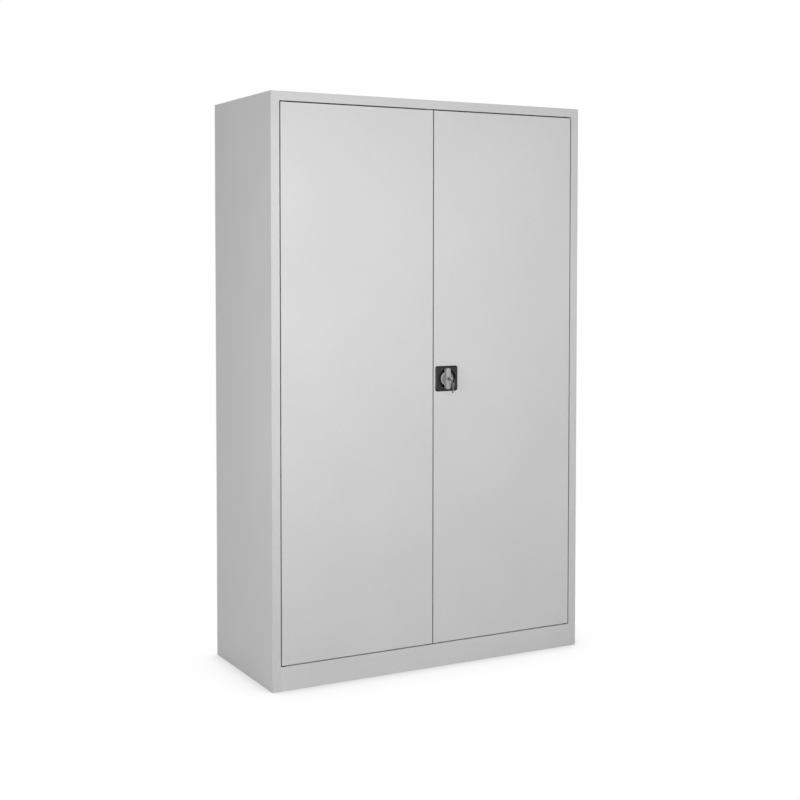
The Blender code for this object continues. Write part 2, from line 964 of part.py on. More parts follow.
def lock_case(finish):
    """The bracket behind the knob that guides its spindle."""
    base = front + 2 * sheet + fit
    crown = door_back + sheet
    path = hat(lock_x, case_half_width, case_foot, base, crown)
    case = folded(
        "lock_case", finish, path, lock_height - case_half_height,
        lock_height + case_half_height, plan(1),
    )
    return cut(case, cylinder(
        spindle_radius + running_fit, -overrun, door_thickness + overrun,
        (0, 1, 0), (lock_x, front, lock_height), round_steps,
    ))


def cam(finish):
    """The cam: a disc with two pins that drive the rods."""
    face = door_thickness + sheet + fit
    centre = (lock_x, front, lock_height)
    rim = ((cam_bore_radius() + fit, face), (cam_radius, face))
    profile = rim + ((cam_radius, face + cam_thickness), (cam_bore_radius() + fit, face + cam_thickness))
    disc = turned("cam", finish, profile, (0, 1, 0), centre, round_steps, hollow=True)
    pin_end = rod_back - front + cam_pin_past_rod
    for side in (-1, 1):
        pin_x = lock_x + side * cam_pin_orbit * math.cos(cam_swing)
        pin_z = lock_height + side * cam_pin_orbit * math.sin(cam_swing)
        weld(disc, cylinder(
            cam_pin_radius, face + cam_thickness / 2, pin_end, (0, 1, 0),
            (pin_x, front, pin_z), small_steps,
        ))
    return pivot_on(disc, (lock_x, front + face, lock_height))


def rod_middle(side):
    """The middle of a rod: halfway along its pin's sideways travel."""
    return lock_x + side * cam_pin_orbit * (1 + math.cos(cam_swing)) / 2


def lock_rod(name, up, finish):
    """A flat rod, up or down, with a cross slot that takes its cam pin."""
    side = -up
    middle = rod_middle(side)
    pin_z = lock_height + side * cam_pin_orbit * math.sin(cam_swing)
    slot_half_height = cam_pin_radius + rod_slot_clearance
    travel = cam_pin_orbit * (1 - math.cos(cam_swing))
    slot_half_width = travel / 2 + slot_half_height
    head_half = slot_half_width + rod_slot_wall / 2
    head_top = slot_half_height + rod_slot_wall
    end = rod_end(up) - pin_z
    half = rod_width / 2
    outline = [
        (-head_half, -up * head_top),
        (head_half, -up * head_top),
        (head_half, up * head_top),
        (half, up * (head_top + rod_chamfer)),
        (half, end - up * rod_chamfer),
        (half - rod_chamfer, end),
        (rod_chamfer - half, end),
        (-half, end - up * rod_chamfer),
        (-half, up * (head_top + rod_chamfer)),
        (-head_half, up * head_top),
    ]
    rod = slab(
        name, finish, outline, rod_front, rod_back,
        lambda x, z, y: (middle + x, y, pin_z + z),
    )
    slot = []
    for end_side in (1, -1):
        for step in range(corner_steps + 1):
            angle = math.pi * (step / corner_steps - 0.5)
            x = travel / 2 + slot_half_height * math.cos(angle)
            slot.append((end_side * x, end_side * slot_half_height * math.sin(angle)))
    return cut(rod, slab(
        "cutter", None, slot, rod_front - overrun, rod_back + overrun,
        lambda x, z, y: (middle + x, y, pin_z + z),
    ))


def rod_end(up):
    """How far a drawn-back rod or bolt reaches, just short of the frame."""
    return rail_z - rod_end_gap if up > 0 else plinth_height + rod_end_gap


def rod_guide(name, middle, up, finish):
    """A staple on the door's lip that a rod or bolt slides in."""
    base = door_back + fit + sheet
    crown = rod_back + guide_clearance + sheet
    half = rod_width / 2 + guide_clearance + sheet
    path = hat(middle, half, guide_foot, base, crown)
    edge = door_top if up > 0 else door_bottom
    levels = sorted((edge - up * fit, edge - up * (guide_height + fit)))
    return folded(name, finish, path, levels[0], levels[1], plan(1))


def slide_bolt(name, up, finish):
    """A bolt of the left door, up or down: a flat bar with a turned finger tab."""
    middle = -(door_inner + bolt_from_edge)
    end = rod_end(up)
    path = ((rod_back, 0), (rod_back, -bolt_length), (rod_back + bolt_tab, -bolt_length))
    half = rod_width / 2
    return folded(
        name, finish, path, middle - half, middle + half,
        lambda y, drop, x: (x, y, end + up * drop), rod_thickness, bolt_radius,
    )


def build():
    """Make every piece and hang the moving ones on what carries them."""
    for item in list(bpy.data.objects):
        bpy.data.objects.remove(item, do_unlink=True)
    finish = finishes()
    coat, zinc = finish["powder coat"], finish["zinc"]

    side_panel("left_side_panel", -1, coat)
    side_panel("right_side_panel", 1, coat)
    top_panel(coat)
    front_plinth(coat)
    door_stop(coat)
    back_panel(coat)
    floor_panel(coat)
    floor_channel(coat)

    rail_fronts = {"front": front + rail_from_front, "rear": back - rail_from_back - rail_width}
    for side_name, side in (("left", -1), ("right", 1)):
        for row, rail_front in rail_fronts.items():
            shelf_rail(f"{side_name}_{row}_shelf_rail", side, rail_front, coat)
            for number, slot in enumerate(shelf_slots, 1):
                name = f"shelf_clip_{number}_{side_name}_{row}"
                shelf_clip(name, side, rail_front, slot, zinc)
    for number, slot in enumerate(shelf_slots, 1):
        shelf(f"shelf_{number}", slot, coat)

    doors = {}
    for side_name, side in (("left", -1), ("right", 1)):
        pan = door(f"{side_name}_door", side, coat)
        doors[side_name] = pan
        carry(pan, door_stiffener(f"{side_name}_door_stiffener", side, coat))
        for end_name, up in (("upper", 1), ("lower", -1)):
            name = f"{side_name}_{end_name}_pivot"
            carry(pan, pivot_pin(f"{name}_pin", side, up, zinc))
            pivot_bush(f"{name}_bush", side, up, finish["nylon"])

    right = doors["right"]
    turning_knob = knob(finish["grey"])
    plug = lock_plug(finish["nickel"])
    key, ring, spare = keys(finish["nickel"])
    carry(right, lock_plate(finish["black"]), lock_case(zinc), turning_knob)
    carry(turning_knob, cam(zinc), plug)
    carry(plug, key)
    carry(key, ring)
    carry(ring, spare)
    bolt_middle = -(door_inner + bolt_from_edge)
    for end_name, up in (("upper", 1), ("lower", -1)):
        carry(right, lock_rod(f"{end_name}_lock_rod", up, zinc))
        carry(right, rod_guide(f"{end_name}_rod_guide", rod_middle(-up), up, zinc))
        carry(doors["left"], slide_bolt(f"{end_name}_slide_bolt", up, zinc))
        carry(doors["left"], rod_guide(f"{end_name}_bolt_guide", bolt_middle, up, zinc))


build()
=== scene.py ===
"""Looks of a two-door steel storage cabinet: its finishes, fine folds, welds, rivets, lock and keys.

Metres, +Z up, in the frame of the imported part: X runs along the width, the doors face -Y and the
floor is z = 0. Every piece sits where the solid that it stands for sits.
"""
import json
import math

import bmesh
import bpy
from mathutils import Matrix, Vector

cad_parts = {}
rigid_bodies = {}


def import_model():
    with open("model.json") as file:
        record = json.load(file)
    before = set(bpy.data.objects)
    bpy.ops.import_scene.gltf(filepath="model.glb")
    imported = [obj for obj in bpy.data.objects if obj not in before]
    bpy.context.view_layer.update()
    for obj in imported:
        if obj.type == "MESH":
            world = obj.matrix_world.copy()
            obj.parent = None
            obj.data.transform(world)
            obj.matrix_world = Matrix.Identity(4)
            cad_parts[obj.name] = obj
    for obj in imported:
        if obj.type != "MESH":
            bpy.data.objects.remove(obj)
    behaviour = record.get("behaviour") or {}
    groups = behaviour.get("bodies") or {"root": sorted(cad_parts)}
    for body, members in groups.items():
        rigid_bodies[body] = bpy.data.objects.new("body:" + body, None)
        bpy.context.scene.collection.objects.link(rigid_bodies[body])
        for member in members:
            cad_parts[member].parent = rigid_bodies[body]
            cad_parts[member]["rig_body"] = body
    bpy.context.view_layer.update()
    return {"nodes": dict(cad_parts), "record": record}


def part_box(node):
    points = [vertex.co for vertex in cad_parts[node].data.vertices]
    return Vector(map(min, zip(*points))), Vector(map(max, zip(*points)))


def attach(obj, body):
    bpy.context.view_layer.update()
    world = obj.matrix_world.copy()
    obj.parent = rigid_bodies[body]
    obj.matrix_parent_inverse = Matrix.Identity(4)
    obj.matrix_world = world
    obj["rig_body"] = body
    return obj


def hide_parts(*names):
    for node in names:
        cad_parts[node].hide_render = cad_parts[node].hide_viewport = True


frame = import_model()
scene = bpy.context.scene

# Camera, fitted to the corners of the cabinet in the photograph
image_side = 800
focal_pixels = 1386.5
axis_row = 315.4
camera_x = -2.35559
camera_before_doors = 4.1139
camera_height = 1.41805
camera_turn = math.radians(-28.4138)
camera_pitch = math.radians(-2.41526)
camera_roll = math.radians(0.03221)
sensor_width = 36.0

# Light: an even studio, with two soft boxes before the doors, one beside the cabinet and one behind.
# The right side would mirror the rear box to the front, so that one gives diffuse light alone.
ambient_level = 0.27
soft_box_side = 1.2
lamps = {
    "front_soft_box": {
        "place": (0.0, -2.8, 1.6), "aim": (-0.3, -0.2, 1.2), "power": 34.2, "mirrored": True,
    },
    "right_soft_box": {
        "place": (1.8, -3.2, 1.6), "aim": (0.0, -0.2, 1.2), "power": 7.2, "mirrored": True,
    },
    "side_soft_box": {
        "place": (-3.0, -1.4, 1.2), "aim": (-0.3, -0.2, 1.2), "power": 36.6, "mirrored": True,
    },
    "rear_soft_box": {
        "place": (2.4, 3.2, 1.8), "aim": (0.2, 0.2, 1.0), "power": 80.0, "mirrored": False,
    },
}

# Studio floor, and the shadow where the cabinet stands on it
floor_side = 30.0
floor_drop = 0.0002
floor_bounce = 0.55
far_shadow_reach = 0.25
near_shadow_reach = 0.08
far_shadow_depth = 0.10
near_shadow_depth = 0.19
shadow_rays = 24
shadow_full = 0.5
shadow_falloff = 2.0

# Sheet steel, the same as in the solids, but with finer folds
sheet = 0.001
fold_radius = 0.0012
fold_steps = 6
fit = 0.0003
overrun = 0.002

# Frame
stile_width = 0.030
frame_return = 0.024
frame_lip = 0.012
foot_flange = 0.020
rear_flange = 0.020
top_flange = 0.018
stop_radius = 0.0013

# The cabinet's floor, and the stiffeners under it and in the doors
floor_edge = 0.020
floor_lip = 0.012
floor_channel_depth = 0.016
floor_channel_half = 0.025
floor_channel_foot = 0.014
stiffener_half = 0.030
stiffener_foot = 0.014

# Doors and their pivots
door_thickness = 0.020
door_lip = 0.012
door_gap = 0.004
hinge_inset = 0.012
hinge_setback = 0.008
pin_radius = 0.003
pin_collar_radius = 0.005
pin_collar_height = 0.004
pin_chamfer = 0.001
bush_bore_radius = 0.0032
bush_outer_radius = 0.0044
bracket_drop = 0.016
bracket_sheet = 0.0015
bracket_reach = 0.024

# Shelves, their rails and clips
shelf_count = 4
shelf_edge = 0.030
shelf_lip = 0.014
slot_pitch = 0.050
slot_margin = 0.025
slot_width = 0.014
slot_height = 0.004
slot_corner = slot_height / 5
clip_sheet = 0.0015
clip_radius = 0.0024
clip_hook = 0.006

# Lock case, guides and slide bolts
case_foot = 0.009
guide_foot = 0.009
bolt_sheet = 0.003
bolt_radius = 0.004
bolt_tab = 0.008

# Lock plate
plate_edge = 0.003
plate_bevel = 0.0052
plate_corner = 0.008
plate_bevel_steps = 6
plate_bevel_crown = 0.9
dish_radius = 0.033
dish_depth = 0.004
dish_slope = 0.0022
dish_lip = 0.0008

# Knob, with its spindle, and the plug in it
spindle_radius = 0.0115
spindle_gap = 0.001
running_fit = 0.0002
cam_thickness = 0.003
cam_bore_radius = spindle_radius - cam_thickness
disc_radius = 0.024
disc_rise = 0.0065
disc_edge = 0.0024
grip_length = 0.074
grip_end = 0.009
grip_width = 0.019
grip_waist = 0.0175
grip_fillet = 0.0020
grip_face = 0.018
grip_draft = 0.0006
grip_round = 0.0010
grip_crown = 0.0008
crown_ridge = 0.02
plug_radius = 0.0065
plug_round = 0.0006
plug_groove = 0.0004
plug_groove_share = 0.72

# Keys and their ring
key_thickness = 0.002
key_blade_width = 0.007
key_inserted = 0.017
key_neck = 0.003
bow_radius = 0.009
bow_hole_radius = 0.002
bow_hole_from_end = 0.0045
blade_cut_shares = (0.16, 0.32, 0.20, 0.36, 0.14)
cut_width_share = 0.8
cut_floor_share = 1 / 8
blade_tip = 0.0025
blade_groove_width = 0.0014
blade_groove_depth = 0.0005
blade_groove_share = 0.1
bow_panel_radius = 0.0062
bow_panel_depth = 0.00025
key_angle = math.radians(45)
ring_radius = 0.008
ring_wire = 0.0007
ring_turns = 1.9
ring_sides = 10

# Welds
spot_width = 0.0055
spot_depth = 0.00018
spot_end = 0.060
flange_spot_pitch = 0.150
stiffener_spot_pitch = 0.120
bead_length = 0.014
bead_width = 0.0022
bead_ripples = 7
bead_ripple_depth = 0.10
bead_tip = bead_width / 20
bead_height_share = 0.8
bead_pitch = 0.250
weld_size_change = 0.12

# Rivets: a head is drawn from its middle out, by shares of its radius and of its rise
rivet_radius = 0.0028
rivet_rise = 0.0013
rivet_shares = ((0, 0.55), (0.256, 0.55), (0.32, 0.95), (0.448, 1), (0.75, 0.78), (0.95, 0.35), (1, 0))
rivet_size_change = 0.03
case_rivet_share = 0.34
guide_rivet_share = 0.55

# Facets on round pieces, and edges
merge_gap = 0.00001
flat_angle = math.radians(0.5)
sharp_angle = math.radians(35)
flat_face_weight = 100
edge_round = 0.0003
edge_steps = 2
round_steps = 96
small_steps = 32
plate_steps = 160
grip_steps = 16
grip_levels = 6
bow_steps = 40
lip_steps = 4
slot_steps = 3
groove_steps = 6
spot_steps = 3
spot_sides = 16
bead_sides = 8
ripple_steps = 3
rivet_sides = 20

# Attributes that only the trees need, which no finished piece keeps
tree_attributes = ("bend_radius", "right", "facing", "along")

# Scale and relief of each pattern, and the range that nearly all of a noise lies in.
# Orange peel is 1 to 3 mm wide, marks of use are 0.1 to 0.3 mm and a mould's grain is about 0.1 mm.
# That is finer than a pixel here, so they are drawn at 8, 0.8 and 1.2 mm.
coat_cloud = 0.30
coat_grain = 0.0045
coat_peel = 0.0080
coat_peel_relief = 0.00008
coat_wave = 0.35
coat_wave_relief = 0.0006
zinc_spangle = 0.0060
zinc_relief = 0.00003
brush_mark = 0.0008
brush_relief = 0.00002
brush_stretch = (1.0, 1.0, 0.12)
moulded_grain = 0.0012
moulded_relief = 0.00003
noise_low, noise_high = 0.3, 0.7

# Where painted highlights, and polish with painted shade, lie: by how squarely a face looks out and how far
# it stands out
slope_facing, flat_facing = 0.90, 0.99
edge_facing = 0.7
edge_fade, edge_core = 0.2, 0.1
highlight_from = 0.012

# A Mix node's sockets by their places, because those for colours and for values share their names
colour_first, colour_second, colour_result = 6, 7, 2
value_first, value_second, value_result = 2, 3, 0


def srgb(code):
    """A hex colour as linear RGBA."""
    parts = [int(code[index:index + 2], 16) / 255 for index in (1, 3, 5)]
    linear = [part / 12.92 if part <= 0.04045 else ((part + 0.055) / 1.055) ** 2.4 for part in parts]
    return (*linear, 1.0)


def add_node(tree, kind, inputs=None, **settings):
    """Add one node: its settings, then its inputs, each a value or the socket it is linked from."""
    made = tree.nodes.new(kind)
    for name, value in settings.items():
        setattr(made, name, value)
    for key, value in (inputs or {}).items():
        if isinstance(value, bpy.types.NodeSocket):
            tree.links.new(value, made.inputs[key])
        else:
            made.inputs[key].default_value = value
    return made


def new_finish(name, values):
    """A material with its shader's own sockets set."""
    made = bpy.data.materials.new(name)
    made.use_nodes = True
    shader = made.node_tree.nodes["Principled BSDF"]
    for key, value in values.items():
        shader.inputs[key].default_value = value
    return made, made.node_tree, shader


def powder_coat(name, dark, light):
    """Polyester powder sprayed dry on sheet steel and baked: a soft sheen over fine orange peel."""
    made, tree, shader = new_finish(name, {"IOR": 1.5})
    place = add_node(tree, "ShaderNodeTexCoord").outputs["Object"]
    cloud, grain, peel, wave = [
        add_node(tree, "ShaderNodeTexNoise", {
            "Vector": place, "Scale": 1 / size, "Detail": detail,
        }).outputs["Fac"]
        for size, detail in ((coat_cloud, 2.0), (coat_grain, 2.0), (coat_peel, 1.0), (coat_wave, 1.0))
    ]
    spread = add_node(tree, "ShaderNodeMath", {0: cloud, 1: grain}, operation="ADD")
    share = add_node(tree, "ShaderNodeMapRange", {
        "Value": spread.outputs[0], "From Min": 2 * noise_low, "From Max": 2 * noise_high,
        "To Min": 0.0, "To Max": 1.0,
    })
    colour = add_node(tree, "ShaderNodeMix", {
        0: share.outputs["Result"], colour_first: srgb(dark), colour_second: srgb(light),
    }, data_type="RGBA")
    gloss = add_node(tree, "ShaderNodeMapRange", {
        "Value": grain, "From Min": noise_low, "From Max": noise_high, "To Min": 0.40, "To Max": 0.48,
    })
    sheet_wave = add_node(tree, "ShaderNodeBump", {
        "Strength": 1.0, "Distance": coat_wave_relief, "Height": wave,
    })
    peel_bump = add_node(tree, "ShaderNodeBump", {
        "Strength": 0.35, "Distance": coat_peel_relief, "Height": peel,
        "Normal": sheet_wave.outputs["Normal"],
    })
    tree.links.new(colour.outputs[colour_result], shader.inputs["Base Color"])
    tree.links.new(gloss.outputs["Result"], shader.inputs["Roughness"])
    tree.links.new(peel_bump.outputs["Normal"], shader.inputs["Normal"])
    return made


def grained(name, values, tones, glosses, size, detail, strength, depth, stretch=None):
    """A finish in which one fine pattern sets the tone, the gloss and the relief."""
    made, tree, shader = new_finish(name, values)
    place = add_node(tree, "ShaderNodeTexCoord").outputs["Object"]
    if stretch:
        place = add_node(tree, "ShaderNodeMapping", {"Vector": place, "Scale": stretch}).outputs["Vector"]
    grain = add_node(tree, "ShaderNodeTexNoise", {
        "Vector": place, "Scale": 1 / size, "Detail": detail,
    }).outputs["Fac"]
    colour = add_node(tree, "ShaderNodeMix", {
        0: grain, colour_first: srgb(tones[0]), colour_second: srgb(tones[1]),
    }, data_type="RGBA")
    gloss = add_node(tree, "ShaderNodeMapRange", {
        "Value": grain, "From Min": noise_low, "From Max": noise_high,
        "To Min": glosses[0], "To Max": glosses[1],
    })
    bump = add_node(tree, "ShaderNodeBump", {"Strength": strength, "Distance": depth, "Height": grain})
    tree.links.new(colour.outputs[colour_result], shader.inputs["Base Color"])
    tree.links.new(gloss.outputs["Result"], shader.inputs["Roughness"])
    tree.links.new(bump.outputs["Normal"], shader.inputs["Normal"])
    return made


def zinc_plate():
    """Bright zinc plating on steel, blue passivated: a hazy mirror with faint clouds in its tint."""
    return grained(
        "blue_passivated_zinc_plate", {"Metallic": 1.0}, tones=("#A9AEB4", "#C6C7C4"),
        glosses=(0.26, 0.42), size=zinc_spangle, detail=4.0, strength=0.2, depth=zinc_relief,
    )


def nickel_plate():
    """Nickel plate on stamped brass: bright and a little grey, with fine marks from use along the metal."""
    return grained(
        "nickel_plated_brass", {"Metallic": 1.0}, tones=("#7E7E7E", "#A9A9A8"), glosses=(0.16, 0.34),
        size=brush_mark, detail=3.0, strength=0.25, depth=brush_relief, stretch=brush_stretch,
    )


def moulded(name, values, tones, glosses):
    """A moulded plastic with the fine spark-eroded grain of its mould."""
    return grained(
        name, values, tones, glosses, size=moulded_grain, detail=3.0, strength=0.3, depth=moulded_relief,
    )


def facing_out(tree):
    """How squarely a face looks out from the doors: one for flat on, less on a slope."""
    normal = add_node(tree, "ShaderNodeTexCoord").outputs["Normal"]
    return add_node(tree, "ShaderNodeVectorMath", {
        0: normal, 1: (0.0, -1.0, 0.0),
    }, operation="DOT_PRODUCT").outputs["Value"]


def standing_out(tree, start, end):
    """How far a place stands out from the doors, from none at a start to one at an end."""
    place = add_node(tree, "ShaderNodeTexCoord").outputs["Object"]
    depth = add_node(tree, "ShaderNodeSeparateXYZ", {0: place})
    return add_node(tree, "ShaderNodeMapRange", {
        "Value": depth.outputs["Y"], "From Min": front - start, "From Max": front - end,
        "To Min": 0.0, "To Max": 1.0,
    }).outputs["Result"]


def polished_and_shaded_slopes(made, dark, slope_gloss):
    """A moulding with a grained flat face, whose slopes and dish are polished and painted darker: painted
    shade for their dark reflections and for the shade in the dish.
    """
    tree = made.node_tree
    shader = tree.nodes["Principled BSDF"]
    flat = add_node(tree, "ShaderNodeMapRange", {
        "Value": facing_out(tree), "From Min": slope_facing, "From Max": flat_facing,
        "To Min": 0.0, "To Max": 1.0,
    })
    share = add_node(tree, "ShaderNodeMath", {
        0: flat.outputs["Result"], 1: standing_out(tree, plate_edge, 2 * plate_edge),
    }, operation="MULTIPLY").outputs[0]
    # Painted shade: near black on the slopes and in the dish, where the plate stands back from its face
    colour = add_node(tree, "ShaderNodeMix", {
        0: share, colour_first: srgb(dark), colour_second: shader.inputs["Base Color"].links[0].from_socket,
    }, data_type="RGBA")
    gloss = add_node(tree, "ShaderNodeMix", {
        0: share, value_first: slope_gloss,
        value_second: shader.inputs["Roughness"].links[0].from_socket,
    }, data_type="FLOAT")
    tree.links.new(colour.outputs[colour_result], shader.inputs["Base Color"])
    tree.links.new(gloss.outputs[value_result], shader.inputs["Roughness"])
    return made


def pale_painted_highlights(made, pale):
    """A moulding painted paler on its sloped edges and where it stands out furthest: painted highlights."""
    tree = made.node_tree
    shader = tree.nodes["Principled BSDF"]
    slope = add_node(tree, "ShaderNodeMath", {0: facing_out(tree), 1: edge_facing}, operation="SUBTRACT")
    off_edge = add_node(tree, "ShaderNodeMath", {0: slope.outputs[0]}, operation="ABSOLUTE")
    on_edge = add_node(tree, "ShaderNodeMapRange", {
        "Value": off_edge.outputs[0], "From Min": edge_fade, "From Max": edge_core,
        "To Min": 0.0, "To Max": 1.0,
    })
    share = add_node(tree, "ShaderNodeMath", {
        0: standing_out(tree, highlight_from, grip_face), 1: on_edge.outputs["Result"],
    }, operation="MAXIMUM")
    # Painted highlight: the pale tone on the sloped edges and on the front of the grip
    colour = add_node(tree, "ShaderNodeMix", {
        0: share.outputs[0], colour_first: shader.inputs["Base Color"].links[0].from_socket,
        colour_second: srgb(pale),
    }, data_type="RGBA")
    tree.links.new(colour.outputs[colour_result], shader.inputs["Base Color"])
    return made


def finishes():
    """Each material slot of the record with the finish that the real surface has."""
    return {
        "powder_coat": powder_coat("light_grey_powder_coat", "#CDCDCD", "#D5D5D5"),
        "zinc_plate": zinc_plate(),
        "nickel_plate": nickel_plate(),
        # ABS for the lock plate: nearly black, a grained face inside a polished rim, with painted shade on
        # the rim and in the dish
        "black_plastic": polished_and_shaded_slopes(moulded(
            "black_moulded_abs", {"IOR": 1.45, "Specular IOR Level": 0.3},
            tones=("#1C1C1D", "#242425"), glosses=(0.40, 0.50),
        ), dark="#020202", slope_gloss=0.14),
        # Glass-filled polyamide for the knob: mid grey, with a low sheen, and painted highlights on its
        # bevels and the front of its grip
        "grey_plastic": pale_painted_highlights(moulded(
            "grey_moulded_polyamide", {"IOR": 1.50}, tones=("#727374", "#797A7B"), glosses=(0.24, 0.32),
        ), pale="#A6A7A8"),
        # Polyamide filled with carbon black for the bushes: dry, dull and nearly black
        "nylon": moulded(
            "black_moulded_polyamide", {"IOR": 1.53}, tones=("#1E1E1F", "#262627"), glosses=(0.48, 0.60),
        ),
    }


def keep(name, mesh):
    """An object at the origin that holds a mesh."""
    made = bpy.data.objects.new(name, mesh)
    scene.collection.objects.link(made)
    return made


def shape_to_object(name, shape, material):
    """Turn a bmesh into an object with one finish, its faces pointing out."""
    bmesh.ops.recalc_face_normals(shape, faces=shape.faces)
    mesh = bpy.data.meshes.new(name)
    shape.to_mesh(mesh)
    shape.free()
    if material:
        mesh.materials.append(material)
    return keep(name, mesh)


def apply_modifiers(piece):
    """Replace a piece's mesh by what its modifiers make of it."""
    bpy.context.view_layer.update()
    graph = bpy.context.evaluated_depsgraph_get()
    finished = bpy.data.meshes.new_from_object(piece.evaluated_get(graph))
    rough = piece.data
    piece.modifiers.clear()
    piece.data = finished
    bpy.data.meshes.remove(rough)
    return piece


def combine(piece, other, operation="DIFFERENCE"):
    """Cut another solid from a piece, or weld it on, and remove the spare solid."""
    modifier = piece.modifiers.new(operation.lower(), "BOOLEAN")
    modifier.solver = "EXACT"
    modifier.operation = operation
    modifier.object = other
    apply_modifiers(piece)
    bpy.data.objects.remove(other, do_unlink=True)
    return piece


def shade(piece):
    """Smooth over folds and curves, with flat faces left flat."""
    piece.data.shade_smooth()
    piece.data.set_sharp_from_angle(angle=sharp_angle)
    weighted = piece.modifiers.new("flat faces", "WEIGHTED_NORMAL")
    weighted.keep_sharp = True
    weighted.weight = flat_face_weight
    return apply_modifiers(piece)


def soften(piece, width=edge_round):
    """Round the raw edges a little, as paint, plating or a mould leaves them."""
    bevel = piece.modifiers.new("edges", "BEVEL")
    bevel.width = width
    bevel.segments = edge_steps
    bevel.limit_method = "ANGLE"
    bevel.angle_limit = sharp_angle
    return shade(apply_modifiers(piece))


def merged_copy(node, name):
    """A copy of a solid with its loose triangles joined and its flat faces made whole."""
    shape = bmesh.new()
    shape.from_mesh(frame["nodes"][node].data)
    bmesh.ops.remove_doubles(shape, verts=shape.verts, dist=merge_gap)
    bmesh.ops.dissolve_limit(shape, angle_limit=flat_angle, verts=shape.verts, edges=shape.edges)
    return shape_to_object(name, shape, finish_for(node))


def finish_for(node):
    """The finish of the material slot that the record gives a solid."""
    return finish[slot_of[node]]


def ride_with(piece, node):
    """Let an added piece ride on a solid's body."""
    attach(piece, frame["nodes"][node]["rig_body"])
    return piece


def fit_piece(piece, node):
    """Let a finished piece ride where its solid does, and stand for it."""
    ride_with(piece, node)
    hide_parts(node)
    return piece


def dressed(node):
    """A solid whose shape is right, with its edges rounded and its folds shaded."""
    return fit_piece(soften(merged_copy(node, f"{node}_finished")), node)


def add_inputs(tree, inputs):
    """Give a tree its named inputs and its one output, and return the inputs' sockets."""
    for name, kind in inputs.items():
        tree.interface.new_socket(name=name, in_out="INPUT", socket_type=f"NodeSocket{kind}")
    tree.interface.new_socket(name="Part", in_out="OUTPUT", socket_type="NodeSocketGeometry")
    return add_node(tree, "NodeGroupInput").outputs


def close_tree(tree, geometry, material):
    """End a tree with real geometry in one finish."""
    real = add_node(tree, "GeometryNodeRealizeInstances", {"Geometry": geometry})
    dressed_part = add_node(tree, "GeometryNodeSetMaterial", {
        "Geometry": real.outputs["Geometry"], "Material": material,
    })
    add_node(tree, "NodeGroupOutput", {"Part": dressed_part.outputs["Geometry"]})
    return tree


def folded_sheet_tree():
    """Sheet steel from a drawn profile: rounds its corners, runs it along and gives it its thickness."""
    tree = bpy.data.node_groups.new("Folded sheet", "GeometryNodeTree")
    given = add_inputs(tree, {
        "Profile": "Geometry", "Run": "Float", "Sheet": "Float", "Fold steps": "Int", "Finish": "Material",
    })
    path = add_node(tree, "GeometryNodeMeshToCurve", {"Mesh": given["Profile"]})
    bend = add_node(tree, "GeometryNodeInputNamedAttribute", {"Name": "bend_radius"}, data_type="FLOAT")
    rounded = add_node(tree, "GeometryNodeFilletCurve", {
        "Curve": path.outputs["Curve"], "Count": given["Fold steps"], "Radius": bend.outputs["Attribute"],
    }, mode="POLY")
    along = add_node(tree, "GeometryNodeInputTangent")
    right = add_node(tree, "ShaderNodeVectorMath", {
        0: along.outputs["Tangent"], 1: (0.0, 0.0, 1.0),
    }, operation="CROSS_PRODUCT")
    marked = add_node(tree, "GeometryNodeStoreNamedAttribute", {
        "Geometry": rounded.outputs["Curve"], "Name": "right", "Value": right.outputs["Vector"],
    }, data_type="FLOAT_VECTOR", domain="POINT")
    line = add_node(tree, "GeometryNodeCurveToMesh", {"Curve": marked.outputs["Geometry"]})
    run = add_node(tree, "ShaderNodeCombineXYZ", {"Z": given["Run"]})
    skin = add_node(tree, "GeometryNodeExtrudeMesh", {
        "Mesh": line.outputs["Mesh"], "Offset": run.outputs["Vector"], "Offset Scale": 1.0,
    }, mode="EDGES")
    across_sheet = add_node(
        tree, "GeometryNodeInputNamedAttribute", {"Name": "right"}, data_type="FLOAT_VECTOR",
    )
    other_skin = add_node(tree, "GeometryNodeExtrudeMesh", {
        "Mesh": skin.outputs["Mesh"], "Offset": across_sheet.outputs["Attribute"],
        "Offset Scale": given["Sheet"], "Individual": False,
    }, mode="FACES")
    near_skin = add_node(tree, "GeometryNodeFlipFaces", {"Mesh": skin.outputs["Mesh"]})
    both = add_node(tree, "GeometryNodeJoinGeometry")
    tree.links.new(near_skin.outputs["Mesh"], both.inputs[0])
    tree.links.new(other_skin.outputs["Mesh"], both.inputs[0])
    closed = add_node(tree, "GeometryNodeMergeByDistance", {
        "Geometry": both.outputs["Geometry"], "Distance": merge_gap,
    })
    return close_tree(tree, closed.outputs["Geometry"], given["Finish"])


